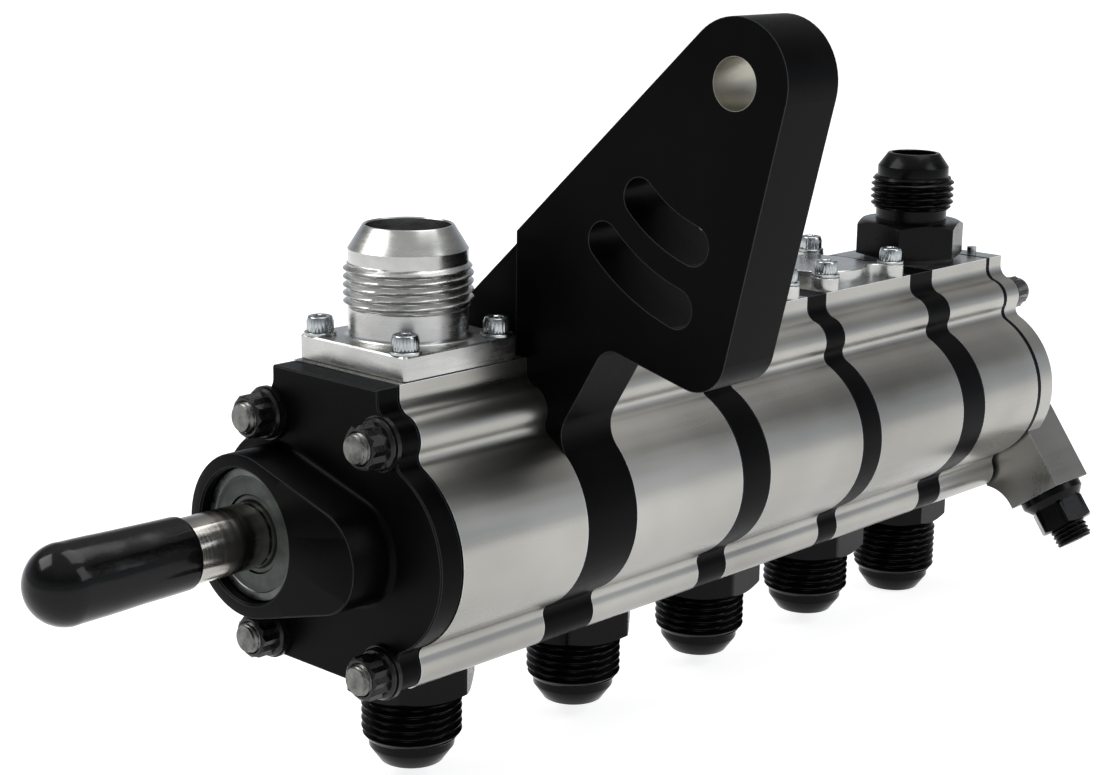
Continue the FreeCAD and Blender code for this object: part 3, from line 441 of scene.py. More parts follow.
rotorLook = {"dark": (0.32, 0.33, 0.33), "light": (0.46, 0.47, 0.47), "cloudScale": 60.0,
             "markStretch": (60, 1200, 60), "roughness": (0.28, 0.4), "patchiness": 0.03,
             "bump": 0.12, "bumpDepth": 0.0001, "metallic": 1.0}
bronzeLook = {"dark": (0.45, 0.27, 0.10), "light": (0.66, 0.43, 0.20), "cloudScale": 200.0,
              "markStretch": (900, 900, 900), "roughness": (0.35, 0.5), "patchiness": 0.05,
              "bump": 0.2, "bumpDepth": 0.0001, "metallic": 1.0}


def vinylFinish(name):
    # Dipped vinyl: deep gloss with slow waves and a faint skin of dust
    material, nodes, links, shader = newMaterial(name)
    waves = stretchedNoise(nodes, links, (1, 0.6, 1), 130.0, 2.0)
    dust = stretchedNoise(nodes, links, (1, 1, 1), 1500.0, 3.0)
    colour = toned(nodes, links, dust, (0.0012, 0.0012, 0.0013), (0.003, 0.003, 0.003))
    links.new(colour, shader.inputs["Base Color"])
    links.new(ranged(nodes, links, dust, 0.1, 0.2), shader.inputs["Roughness"])
    bumped(nodes, links, shader, waves, 0.3, 0.0005)
    shader.inputs["Specular IOR Level"].default_value = 0.14
    shader.inputs["Coat Weight"].default_value = 0.06
    shader.inputs["Coat Roughness"].default_value = 0.06
    return material


def rubberFinish(name):
    material, nodes, links, shader = newMaterial(name)
    grain = stretchedNoise(nodes, links, (1, 1, 1), 1800.0, 4.0)
    colour = toned(nodes, links, grain, (0.012, 0.012, 0.012), (0.03, 0.03, 0.03))
    links.new(colour, shader.inputs["Base Color"])
    links.new(ranged(nodes, links, grain, 0.45, 0.65), shader.inputs["Roughness"])
    bumped(nodes, links, shader, grain, 0.3, 0.0001)
    return material


finishes = {
    "housing": metalFinish("milledAluminium", housingLook),
    "flange": metalFinish("turnedAluminium", flangeLook),
    "anodised": metalFinish("blackAnodised", anodisedLook),
    "bracket": metalFinish("blackBracket", dict(anodisedLook, bareRadius=6.3 * mm)),
    "edge": metalFinish("paintedChamferHighlight", chamferHighlightLook),
    "ring": metalFinish("bearingRing", ringLook),
    "fitting": metalFinish("blackFitting", fittingLook),
    "nut": metalFinish("blackOxideSteel", nutLook),
    "zinc": metalFinish("zincPlate", zincLook),
    "shaft": metalFinish("groundSteel", shaftLook),
    "stud": metalFinish("turnedSteel", studLook),
    "shield": metalFinish("bearingShield", shieldLook),
    "rotor": metalFinish("hardAnodised", rotorLook),
    "bronze": metalFinish("sinteredBronze", bronzeLook),
    "vinyl": vinylFinish("dippedVinyl"),
    "rubber": rubberFinish("sealRubber"),
}
print("finishes made:", len(finishes))


def dressNodes():
    # The frame's own nodes keep their shape and take a finish by the slot that the record gives
    bySlot = {"machined_aluminium": "housing", "black_anodised": "anodised", "bright_steel": "shaft",
              "zinc_steel": "zinc", "black_steel": "nut", "rotor_alloy": "rotor", "vinyl": "vinyl",
              "seal_rubber": "rubber", "bronze": "bronze"}
    special = {"outlet_fitting": "flange", "port_cover_3": "flange", "port_cover_4": "flange",
               "through_studs": "stud", "bearing_shields": "shield", "mount_bracket": "bracket",
               "rear_cover_plug": "zinc"}
    for part in frame["record"]["subparts"]:
        node = part["node"]
        finish = finishes[special.get(node, bySlot[part["material_slot"]])]
        mesh = frame["nodes"][node].data
        for index in range(len(mesh.materials)):
            mesh.materials[index] = finish
        if not mesh.materials:
            mesh.materials.append(finish)


dressNodes()
print("frame nodes dressed:", len(frame["nodes"]))


# Hose fittings

inchPitch = 2.1167 * mm  # 12 threads to the inch
threadLead = 0.7  # chamfer at a fitting's thread ends, in pitches
hoseFitting = {"hexAcross": 31.75 * mm, "hexHeight": 11.2 * mm, "neckRadius": 11.5 * mm,
               "neckHeight": 1.0 * mm, "threadRadius": 13.49 * mm, "pitch": inchPitch,
               "threadDepth": 1.25 * mm, "reliefRadius": 11.5 * mm, "reliefHeight": 2.6 * mm,
               "noseRadius": 8.3 * mm, "boreRadius": 7.2 * mm, "stub": 2.0 * mm, "lip": 0.25 * mm,
               "flareSlope": math.tan(math.radians(37)), "hexSlope": math.tan(math.radians(30))}


def fittingRings(spec, total):
    # From the bore's inner end out, over hexagon, thread and flare, and back down the bore
    across = spec["hexAcross"]
    outline = hexRadius(across, spec["turn"])
    drop = cornerDrop(outline, across / 2, spec["hexSlope"])
    hexTop = spec["hexHeight"]
    threadLow = hexTop + spec["neckHeight"]
    flareHeight = (spec["reliefRadius"] - spec["noseRadius"]) / spec["flareSlope"]
    threadHigh = total - flareHeight - spec["reliefHeight"]
    bore, nose, relief = spec["boreRadius"], spec["noseRadius"], spec["reliefRadius"]
    lip, stub, thread = spec["lip"], spec["stub"], spec["threadRadius"]
    stubRadius = thread * 0.97  # the part screwed into the housing, a little below the thread
    rings = [(bore, -stub), (stubRadius, -stub), (stubRadius, 0)]
    rings += [(across / 2 * 0.985, 0), (outline, lambda a: drop(a) * 0.25 + 0.15 * mm)]
    rings += [(outline, lambda a: hexTop - drop(a)), (across / 2, hexTop), (spec["neckRadius"] + lip, hexTop),
              (spec["neckRadius"], hexTop + lip), (spec["neckRadius"], threadLow)]
    pitch = spec["pitch"]
    rings += threadRings(thread, spec["threadDepth"], pitch, threadLow, threadHigh, pitch * threadLead)
    rings += [(relief, threadHigh + 0.2 * mm), (relief, threadHigh + spec["reliefHeight"] - lip),
              (relief - lip * 0.3, threadHigh + spec["reliefHeight"]), (nose + lip, total - lip * 0.9),
              (nose, total - lip * 0.2), (nose - lip, total), (bore + lip, total), (bore, total - lip)]
    return rings


def makeFitting(node, seat, way, turnDegrees, changes=None):
    spec = dict(hoseFitting)
    spec.update(changes or {})
    low, high = boxOf(node)
    centre = middle((low, high))
    total = (seat - low.z) if way < 0 else (high.z - seat)
    spec["turn"] = math.radians(turnDegrees)
    base = Vector((centre.x, centre.y, seat))
    place = standOn(base, (0, 0, way))
    piece = ringLoft(node + "Turned", [(fittingRings(spec, total), evenAngles(), place, True)])
    finishPiece(piece, "pump", finishes["fitting"], "black_anodised", node)


housingBottom = boxOf("stage_housing_1")[0].z
lowerTurns = (51.0, 51.0, 19.0, 22.0, 25.0)  # how each hexagon happens to be tightened, in degrees
lastLower = {"hexAcross": 28.6 * mm}
upperFitting = {"neckHeight": 4.2 * mm, "reliefHeight": 3.4 * mm}
for number, turn in enumerate(lowerTurns, 1):
    changes = lastLower if number == len(lowerTurns) else None
    makeFitting("inlet_fitting_%d" % number, housingBottom, -1, turn, changes)
sealTop = boxOf("pressure_outlet_seal")[1].z
makeFitting("pressure_outlet_fitting", sealTop, 1, 22.0, upperFitting)
print("hose fittings made")


# Flanged outlet on the first stage

outletFlange = {"side": 39.4 * mm, "corner": 1.2 * mm, "edge": 0.4 * mm, "thickness": 6.4 * mm,
                "neckRadius": 15.4 * mm, "neckHeight": 7.6 * mm, "foot": 1.4 * mm,
                "threadRadius": 16.67 * mm, "threadDepth": 1.3 * mm, "pitch": inchPitch,
                "threadHeight": 11.6 * mm, "reliefRadius": 15.4 * mm, "reliefHeight": 3.6 * mm,
                "noseRadius": 11.6 * mm, "boreRadius": 10.9 * mm, "screwsWider": 0.9 * mm,
                "forward": 0.8 * mm, "taller": 0.9 * mm}


def roundedSquare(half, corner, cornerSteps=8, sideSteps=28):
    points = []
    for side in range(4):
        turn = side * math.pi / 2
        across, up = math.cos(turn), math.sin(turn)
        local = []
        for i in range(sideSteps):
            local.append((half, -half + corner + (2 * half - 2 * corner) * i / sideSteps))
        for i in range(cornerSteps):
            angle = math.pi / 2 * i / cornerSteps
            local.append((half - corner + corner * math.cos(angle), half - corner + corner * math.sin(angle)))
        points += [(x * across - y * up, x * up + y * across) for x, y in local]
    return points


def makeOutlet():
    spec = outletFlange
    low, high = boxOf("outlet_fitting")
    centre = middle((low, high))
    half = spec["side"] / 2
    square = roundedSquare(half, spec["corner"])
    angles = [math.atan2(y, x) for x, y in square]
    reach = {round(math.atan2(y, x), 9): math.hypot(x, y) for x, y in square}

    def outline(angle):
        return reach[round(angle, 9)]

    def shrunk(angle):
        return reach[round(angle, 9)] - spec["edge"]

    top = spec["thickness"]
    neckTop = top + spec["neckHeight"]
    threadTop = neckTop + spec["threadHeight"]
    reliefTop = threadTop + spec["reliefHeight"]
    total = high.z - low.z + spec["taller"]
    bore = spec["boreRadius"]
    edge, foot, neck, pitch = spec["edge"], spec["foot"], spec["neckRadius"], spec["pitch"]
    relief, nose = spec["reliefRadius"], spec["noseRadius"]
    rings = [(bore, 0), (shrunk, 0), (outline, edge), (outline, top - edge), (shrunk, top)]
    for i in range(5):
        angle = math.pi / 2 * i / 4
        rings.append((neck + foot * (1 - math.sin(angle)), top + foot * (1 - math.cos(angle))))
    rings += [(neck, neckTop - 0.3 * mm)]
    rings += threadRings(spec["threadRadius"], spec["threadDepth"], pitch, neckTop, threadTop,
                         pitch * threadLead, 12)
    rings += [(relief, threadTop + 0.2 * mm), (relief, reliefTop - 0.2 * mm), (relief - 0.15 * mm, reliefTop),
              (nose + 0.15 * mm, total - 0.2 * mm), (nose - 0.1 * mm, total), (bore + 0.2 * mm, total),
              (bore, total - 0.3 * mm)]
    base = Vector((centre.x, centre.y - spec["forward"], low.z))
    piece = ringLoft("outletTurned", [(rings, angles, Matrix.Translation(base), True)])
    finishPiece(piece, "pump", finishes["flange"], "machined_aluminium", "outlet_fitting")


makeOutlet()
print("outlet made")


# Cap screws with a knurled head

capScrew = {"round": 0.45 * mm, "knurls": 24, "knurlDepth": 0.14 * mm, "socketAcross": 3.0 * mm,
            "socketDepth": 2.0 * mm, "shank": 1.95 * mm, "steps": 96, "washerHole": 2.1 * mm}


def outletShift(box):
    # The outlet's screws stand wider than the frame has them, and its fitting nearer the front
    offset = middle(box) - middle(boxOf("outlet_fitting"))
    wide, ahead = outletFlange["screwsWider"], outletFlange["forward"]
    return Vector((math.copysign(wide, offset.x), math.copysign(wide, offset.y) - ahead, 0))


def washerParts(box, shift):
    low, high = box
    centre = middle(box) + shift
    hole, radius, tall = capScrew["washerHole"], (high.x - low.x) / 2, high.z - low.z
    rings = [(hole, 0), (radius - 0.1 * mm, 0), (radius, 0.1 * mm), (radius, tall - 0.12 * mm),
             (radius - 0.15 * mm, tall), (hole, tall)]
    return (rings, evenAngles(72), Matrix.Translation(Vector((centre.x, centre.y, low.z))), True)


def screwParts(box, seat, shift):
    spec = capScrew
    low, high = box
    centre = middle(box) + shift
    radius = (high.x - low.x) / 2
    height = high.z - seat

    def rim(angle):
        return radius - spec["knurlDepth"] * (0.5 + 0.5 * math.cos(angle * spec["knurls"]))

    rings = [(spec["shank"], low.z - seat), (spec["shank"], 0), (radius - 0.3 * mm, 0), (rim, 0.25 * mm),
             (rim, height * 0.68)]
    for i in range(4):
        angle = math.pi / 2 * i / 3
        inward = spec["round"] * (1 - math.cos(angle))
        rings.append((radius - 0.2 * mm - inward, height * 0.8 + height * 0.2 * math.sin(angle)))
    across, floor = spec["socketAcross"], height - spec["socketDepth"]
    socket = hexRadius(across, 0.3)
    rings += [(across / 2 * 1.22, height), (socket, height - 0.25 * mm), (socket, floor),
              (0.2 * mm, floor - 0.5 * mm)]
    return (rings, evenAngles(spec["steps"]), Matrix.Translation(Vector((centre.x, centre.y, seat))), False)


for screwNode, washerNode in (("outlet_flange_screws", "outlet_flange_washers"),
                              ("port_cover_screws", "port_cover_washers")):
    seat = boxOf(washerNode)[1].z
    still = Vector((0, 0, 0))
    moved = outletShift if screwNode.startswith("outlet") else (lambda box: still)
    screws = [screwParts(box, seat, moved(box)) for box in solidBoxes(screwNode)]
    washers = [washerParts(box, moved(box)) for box in solidBoxes(washerNode)]
    piece = ringLoft(washerNode + "Turned", washers)
    finishPiece(piece, "pump", finishes["zinc"], "zinc_steel", washerNode)
    piece = ringLoft(screwNode + "Knurled", screws, 40)
    finishPiece(piece, "pump", finishes["zinc"], "zinc_steel", screwNode)
print("cap screws made")


# Studs and twelve-point nuts

studSpec = {"radius": 4.0 * mm, "pitch": 1.25 * mm, "depth": 0.62 * mm, "threadLength": 14.0 * mm,
            "tip": 1.25 * mm, "dome": 0.3 * mm, "shorterBehind": 3.0 * mm}
nutSpec = {"flangeRadius": 6.6 * mm, "flangeHeight": 1.5 * mm, "across": 10.0 * mm, "hole": 4.05 * mm,
           "mouth": 0.35 * mm, "slope": math.tan(math.radians(40))}


def studParts(box):
    spec = studSpec
    low, high = box
    centre = middle(box)
    length = high.y - low.y - spec["shorterBehind"]
    tip, core, cut, pitch = spec["tip"], spec["radius"], spec["depth"], spec["pitch"]
    inner, threaded, start = core - tip, spec["threadLength"], spec["dome"]
    dome = [(0.1 * mm, 0.0), (inner * 0.6, 0.06 * mm), (inner, 0.25 * mm)]
    front = threadRings(core, cut, pitch, start, threaded, tip)
    back = threadRings(core, cut, pitch, length - threaded, length - start, tip)
    rings = dome + front + back + [(r, length - z) for r, z in reversed(dome)]
    place = standOn(Vector((centre.x, low.y, centre.z)), (0, 1, 0))
    return (rings, evenAngles(48), place, False)


def nutParts(box):
    spec = nutSpec
    low, high = box
    centre = middle(box)
    height = high.y - low.y
    base = Vector((centre.x, high.y, centre.z))
    star = starRadius(spec["across"])
    tall, flange, hole, mouth = spec["flangeHeight"], spec["flangeRadius"], spec["hole"], spec["mouth"]
    start = spec["across"] / 2
    drop = cornerDrop(star, start, spec["slope"])
    rings = [(hole, 0), (flange - 0.25 * mm, 0), (flange, 0.3 * mm), (flange, tall * 0.55),
             (flange * 0.93, tall), (star, tall + 0.15 * mm), (star, lambda a: height - drop(a)),
             (start * 0.98, height), (hole + mouth, height), (hole, height - mouth)]
    return (rings, evenAngles(), standOn(base, (0, -1, 0)), True)


finishPiece(ringLoft("studsThreaded", [studParts(box) for box in solidBoxes("through_studs")], 30),
            "pump", finishes["stud"], "bright_steel", "through_studs")
piece = ringLoft("frontNutsTwelvePoint", [nutParts(box) for box in solidBoxes("front_nuts")], 24)
finishPiece(piece, "pump", finishes["nut"], "black_steel", "front_nuts", edge=finishes["edge"])

closedNut = {"radius": 5.0 * mm, "height": 9.4 * mm, "round": 2.2 * mm, "flat": 4.6 * mm, "hole": 4.05 * mm,
             "washerRadius": 5.8 * mm, "washerHeight": 1.2 * mm}


def closedNutParts(box):
    # Round-ended nut that hides the stud's tip, over a washer of nearly its own width
    spec = closedNut
    centre = middle(box)
    base = Vector((centre.x, boxOf("rear_washers")[0].y, centre.z))
    low = spec["washerHeight"]
    rim, rise = spec["washerRadius"], spec["round"]
    shoulder = low + spec["height"] - rise
    star = starRadius(spec["flat"] * 2)
    rings = [(spec["hole"], 0), (rim - 0.2 * mm, 0), (rim, 0.2 * mm), (rim, low - 0.3 * mm),
             (rim - 0.3 * mm, low), (spec["radius"] + 0.3 * mm, low + 0.1 * mm), (star, low + 1.0 * mm),
             (star, shoulder - 1.2 * mm)]
    for i in range(7):
        angle = math.pi / 2 * i / 6
        rings.append((spec["flat"] - rise * (1 - math.cos(angle)), shoulder + rise * math.sin(angle)))
    rings.append((0.3 * mm, low + spec["height"]))
    return (rings, evenAngles(), facing(base, 1), False)


rearNuts = [closedNutParts(box) for box in solidBoxes("rear_nuts")]
finishPiece(ringLoft("rearNutsClosed", rearNuts, 30), "pump", finishes["nut"], "black_steel",
            "rear_nuts", "rear_washers")
print("studs and nuts made")


# Front cover with the nose that holds the bearing

axisHeight = -117.1 * mm  # both shafts' height in the frame
ringLow, ringHigh = boxOf("bearing_outer_ring")
driveAxis = Vector(((ringLow.x + ringHigh.x) / 2, 0, axisHeight))
coverSpec = {"thickness": 7.2 * mm, "edge": 0.35 * mm, "noseRadius": 21.4 * mm, "tailRadius": 13.6 * mm,
             "tailReach": 28.2 * mm, "noseHeight": 13.0 * mm, "noseEdge": 0.55 * mm, "foot": 1.8 * mm,
             "pocketRadius": 17.53 * mm, "mouth": 0.5 * mm, "shaftWay": 9.5 * mm}
coverBack = boxOf("front_cover")[1].y
coverFace = coverBack - coverSpec["thickness"]  # front of the cover's plate, where the bearing sits


def makeFrontCover():
    spec = coverSpec
    segments = endSegments("front_cover", coverBack, driveAxis)
    outline = farthestHit(segments)
    nose = farthestHit(hullSegments(spec["noseRadius"], spec["tailRadius"], spec["tailReach"]))
    angles = cornerAngles(segments, outline)
    edge, tall, lip, foot = spec["edge"], spec["thickness"], spec["noseEdge"], spec["foot"]
    hole, pocket, mouth = spec["shaftWay"], spec["pocketRadius"], spec["mouth"]
    top = tall + spec["noseHeight"]
    # The bands marked edge take the painted highlight finish
    rings = [(hole, 0), (grown(outline, -edge), 0), (outline, edge), (outline, tall - edge),
             (grown(outline, -edge), tall, "edge")]
    for i in range(6):
        angle = math.pi / 2 * i / 5
        rings.append((grown(nose, foot * (1 - math.sin(angle))), tall + foot * (1 - math.cos(angle))))
    rings += [(nose, top - lip), (grown(nose, -lip * 0.3), top - lip * 0.3, "edge"),
              (grown(nose, -lip), top, "edge"), (pocket + mouth, top), (pocket, top - mouth, "edge"),
              (pocket, tall), (hole, tall)]
    place = facing(Vector((driveAxis.x, coverBack, driveAxis.z)), -1)
    piece = ringLoft("frontCoverNosed", [(rings, angles, place, True)], 25)
    finishPiece(piece, "pump", finishes["anodised"], "black_anodised", "front_cover", edge=finishes["edge"])


makeFrontCover()
print("front cover made")


# Bearing: outer ring, inner ring and two pressed shields

bearingSpec = {"outer": 17.5 * mm, "outerBore": 15.0 * mm, "innerOutside": 10.2 * mm, "bore": 8.53 * mm,
               "width": 10.0 * mm, "corner": 0.4 * mm, "setBack": 0.25 * mm, "shieldThick": 0.35 * mm,
               "floorGap": 0.2 * mm}
# Shares of the way from the shield's rim to its bore, each with its lift
shieldSteps = ((0.0, 0.0), (0.05, -0.30), (0.12, -0.32), (0.17, 0.10), (0.40, 0.16), (0.74, 0.12),
               (0.80, -0.16), (0.93, -0.20), (1.0, 0.10))


def shieldParts(base, way):
    outer = bearingSpec["outerBore"] - 0.02 * mm
    inner = bearingSpec["innerOutside"] + 0.15 * mm
    depth = bearingSpec["shieldThick"]
    face = [(outer + (inner - outer) * share, depth * (0.6 + 0.4 * lift)) for share, lift in shieldSteps]
    return (face + [(inner, 0.0), (outer, 0.0)], evenAngles(), facing(base, way), True)


def makeBearing():
    spec = bearingSpec
    base = Vector((driveAxis.x, coverFace, driveAxis.z))
    width, corner, lift = spec["width"], spec["corner"], spec["floorGap"]
    rim, race = spec["outer"], spec["outerBore"]
    hub, bore = spec["innerOutside"], spec["bore"]
    outerRings = [(race, 0), (rim, 0), (rim, width - corner), (rim - corner, width),
                  (race + 0.2 * mm, width), (race, width - 0.2 * mm)]
    innerRings = [(bore, lift), (hub, lift), (hub, width - 0.9 * mm), (hub - 0.3 * mm, width - 0.7 * mm),
                  (bore + 0.5 * mm, width - 0.7 * mm), (bore, width - 1.2 * mm)]
    outer = ringLoft("bearingOuterTurned", [(outerRings, evenAngles(), facing(base, -1), True)])
    finishPiece(outer, "pump", finishes["ring"], "bright_steel", "bearing_outer_ring")
    inner = ringLoft("bearingInnerTurned", [(innerRings, evenAngles(), facing(base, -1), True)])
    finishPiece(inner, "drive_train", finishes["shield"], "bright_steel", "bearing_inner_ring")
    depth, inset = spec["shieldThick"], spec["setBack"] * 0.4
    front = Vector((base.x, coverFace - width + inset + depth, base.z))
    rear = Vector((base.x, coverFace - inset - depth, base.z))
    shields = ringLoft("shieldPressed", [shieldParts(front, -1), shieldParts(rear, 1)], 25)
    finishPiece(shields, "pump", finishes["shield"], "zinc_steel", "bearing_shields")


makeBearing()
print("bearing made")


# Bronze bushes, the front one short so that it stays inside the nose

bushSpec = {"frontEnd": 0.3 * mm, "corner": 0.3 * mm}


def makeBushes():
    shaftLow, shaftHigh = boxOf("idler_shaft")
    bore = (shaftHigh.z - shaftLow.z) / 2 + 0.03 * mm
    parts = []
    for low, high in solidBoxes("shaft_bushings"):
        centre, outer, corner = middle((low, high)), (high.z - low.z) / 2, bushSpec["corner"]
        start = max(low.y, coverFace + bushSpec["frontEnd"])
        length = high.y - start
        rings = [(bore, 0), (outer - corner, 0), (outer, corner), (outer, length - corner),
                 (outer - corner, length), (bore, length)]
        parts.append((rings, evenAngles(72), facing(Vector((centre.x, start, centre.z)), 1), True))
    finishPiece(ringLoft("bushesSintered", parts), "pump", finishes["bronze"], "bronze", "shaft_bushings")


makeBushes()
print("bushes made")


# Drive shaft, keyed at its end, and the vinyl cap on it

shaftSpec = {"endRadius": 8.5 * mm, "radius": 7.5 * mm, "reach": 67.25 * mm, "chamfer": 0.8 * mm,
             "keyWidth": 5.0 * mm, "keyDepth": 2.5 * mm, "keyLength": 28.0 * mm, "keyStart": 3.0 * mm,
             "drill": 1.6 * mm, "drillDepth": 4.0 * mm}
shaftSteps = 130  # points round the shaft apart from its keyway


def makeShaft():
    spec = shaftSpec
    start = coverFace - spec["reach"]
    length = boxOf("drive_shaft")[1].y - start
    big, small = spec["endRadius"], spec["radius"]
    half, floorX = spec["keyWidth"] / 2, big - spec["keyDepth"]
    wall = math.asin(half / big)
    # Where the shaft is round, the keyway's six points lie on the round, so both outlines share their count
    slotAngles = [wall * share for share in (-1.0, -0.999, -0.5, 0.0, 0.5, 0.999)]
    restAngles = [wall + (2 * math.pi - 2 * wall) * i / shaftSteps for i in range(shaftSteps)]
    angles = slotAngles + restAngles
    slotted = [(big * math.cos(wall), -half), (floorX, -half), (floorX, -half / 2), (floorX, 0),
               (floorX, half / 2), (floorX, half)]
    slotted += [(big * math.cos(angle), big * math.sin(angle)) for angle in restAngles]
    keyLow, keyHigh = spec["keyStart"], spec["keyStart"] + spec["keyLength"]
    drill, depth, chamfer = spec["drill"], spec["drillDepth"], spec["chamfer"]
    step = spec["reach"] - 0.5 * mm  # the thick end stops just ahead of the cover's plate
    rings = [(0.2 * mm, depth), (drill, depth - 1.2 * mm), (drill, 1.0 * mm), (drill + 1.0 * mm, 0),
             (big - chamfer, 0), (big, chamfer), (big, keyLow), (slotted, keyLow), (slotted, keyHigh),
             (big, keyHigh), (big, step), (small, step), (small, length - 0.6 * mm),
             (small - 0.6 * mm, length)]
    place = facing(Vector((driveAxis.x, start, driveAxis.z)), 1)
    piece = ringLoft("driveShaftKeyed", [(rings, angles, place, False)], 30)
    finishPiece(piece, "drive_train", finishes["shaft"], "bright_steel", "drive_shaft")


capSpec = {"tipRadius": 10.2 * mm, "mouthRadius": 9.4 * mm, "length": 43.65 * mm, "ahead": 75.95 * mm,
           "bore": 8.55 * mm, "boreStart": 8.5 * mm, "lip": 0.3 * mm, "ripple": 0.06 * mm}


def makeCap():
    spec = capSpec
    tip, length = spec["tipRadius"], spec["length"]
    mouth, bore = spec["mouthRadius"], spec["bore"]
    rings = []
    for i in range(14):
        angle = math.pi / 2 * (i + 0.2) / 14
        rings.append((tip * math.sin(angle), tip * (1 - math.cos(angle))))
    for i in range(25):
        share = i / 24

        def wall(angle, share=share):
            wave = math.sin(angle * 2 + share * 9) + 0.6 * math.sin(angle * 3 - share * 14)
            return tip + (mouth - tip) * share - spec["ripple"] * (1 + 0.5 * wave)

        rings.append((wall, tip + (length - 0.7 * mm - tip) * share))
    floor = spec["boreStart"]
    rings += [(mouth - 0.1 * mm, length - 0.3 * mm), (mouth - spec["lip"], length),
              (bore + 0.15 * mm, length), (bore, length - 0.3 * mm), (bore, floor),
              (0.2 * mm, floor - 0.2 * mm)]
    place = facing(Vector((driveAxis.x, coverFace - spec["ahead"], driveAxis.z)), 1)
    piece = ringLoft("capDipped", [(rings, evenAngles(96), place, False)], 60)
    finishPiece(piece, "cap", finishes["vinyl"], "vinyl", "shaft_cap")


makeShaft()
makeCap()
print("shaft and cap made")


# Regulator cap and adjuster on the rear cover's block, along their own leaning axis

idlerX = -68.1 * mm  # the idler shaft's place across the frame
regulatorSpec = {"way": (0.584958, 0, -0.811064), "blockEnd": 43.9 * mm, "flangeRadius": 10.6 * mm,
                 "straight": 2.2 * mm, "flangeHeight": 4.6 * mm, "coneTop": 8.7 * mm, "hexAcross": 16.4 * mm,
                 "hexHeight": 8.0 * mm, "hexTurn": 0.35, "hexSlope": math.tan(math.radians(30)),
                 "bore": 6.25 * mm}
adjusterSpec = {"radius": 6.2 * mm, "reach": 5.8 * mm, "pitch": 1.5 * mm, "threadDepth": 0.6 * mm,
                "neck": 2.2 * mm, "socketAcross": 6.0 * mm, "socketDepth": 3.2 * mm, "gap": 0.05 * mm}


def makeRegulatorCap(base, way):
    spec = regulatorSpec
    across, bore, cone = spec["hexAcross"], spec["bore"], spec["coneTop"]
    outline = hexRadius(across, spec["hexTurn"])
    drop = cornerDrop(outline, across / 2, spec["hexSlope"])
    rim, low = spec["flangeRadius"], spec["flangeHeight"]
    top = low + spec["hexHeight"]
    rings = [(bore, 0), (rim - 0.3 * mm, 0), (rim, 0.3 * mm), (rim, spec["straight"]), (cone, low),
             (lambda a: min(outline(a), cone), low + 0.05 * mm), (outline, low + 0.6 * mm),
             (outline, lambda a: top - drop(a)), (across / 2 * 0.985, top), (bore + 0.5 * mm, top),
             (bore, top - 0.5 * mm)]
    piece = ringLoft("regulatorCapTurned", [(rings, evenAngles(), standOn(base, way), True)], 28)
    finishPiece(piece, "pump", finishes["fitting"], "black_anodised", "regulator_cap")
    return top


def makeAdjuster(base, way, capTop):
    spec = adjusterSpec
    verts = [v.co for v in frame["nodes"]["regulator_adjuster"].data.vertices]
    inner = min((co - base).dot(way) for co in verts) + spec["gap"]
    reach = capTop + spec["reach"]
    socket = hexRadius(spec["socketAcross"], 0.2)
    core, floor = spec["radius"], reach - spec["socketDepth"]
    neck = core - spec["neck"]
    rings = [(0.3 * mm, inner), (neck, inner), (neck, -0.5 * mm)]
    rings += threadRings(core, spec["threadDepth"], spec["pitch"], 0, reach - 0.05 * mm, 1.0 * mm)
    rings += [(spec["socketAcross"] / 2 * 1.2, reach), (socket, reach - 0.3 * mm), (socket, floor),
              (0.3 * mm, floor - 0.6 * mm)]
    piece = ringLoft("adjusterThreaded", [(rings, evenAngles(), standOn(base, way), False)], 35)
    finishPiece(piece, "adjuster", finishes["fitting"], "black_anodised", "regulator_adjuster")


def makeRegulator():
    way = Vector(regulatorSpec["way"])
    idler = Vector((idlerX, middle(boxOf("regulator_adjuster")).y, axisHeight))
    base = idler + way * regulatorSpec["blockEnd"]
    makeAdjuster(base, way, makeRegulatorCap(base, way))


makeRegulator()
print("regulator cap and adjuster made")


# Floor, light and camera

floorSpec = {"halfSide": 12.0, "below": 0.3 * mm, "ownLight": 0.82}


def makeFloor():
    # A lit table, so that no shadow is seen on it
    size = floorSpec["halfSide"]
    mesh = bpy.data.meshes.new("floor")
    z = cadBox[0].z - floorSpec["below"]
    corners = [(-size, -size, z), (size, -size, z), (size, size, z), (-size, size, z)]
    mesh.from_pydata(corners, [], [(0, 1, 2, 3)])
    floor = bpy.data.objects.new("floor", mesh)
    bpy.context.scene.collection.objects.link(floor)
    material, nodes, links, shader = newMaterial("paleFloor")
    clouds = stretchedNoise(nodes, links, (1, 1, 1), 3.0, 2.0)
    colour = toned(nodes, links, clouds, (0.44, 0.44, 0.437), (0.47, 0.47, 0.467))
    links.new(colour, shader.inputs["Base Color"])
    shader.inputs["Roughness"].default_value = 0.75
    shader.inputs["Specular IOR Level"].default_value = 0.1
    shader.inputs["Emission Color"].default_value = (1.0, 1.0, 1.0, 1.0)
    shader.inputs["Emission Strength"].default_value = floorSpec["ownLight"]
    mesh.materials.append(material)


# Height from straight down (0) over the horizon (0.5) to straight up (1), with its colour
skyBands = ((0.0, (0.95, 0.95, 0.94)), (0.50, (0.95, 0.95, 0.94)), (0.515, (0.86, 0.92, 1.0)),
            (0.575, (0.78, 0.84, 0.94)), (0.64, (0.50, 0.51, 0.53)), (0.71, (0.27, 0.27, 0.28)),
            (0.80, (0.46, 0.455, 0.445)), (0.90, (0.85, 0.85, 0.84)), (1.0, (1.0, 1.0, 1.0)))
skyStrength = 0.8


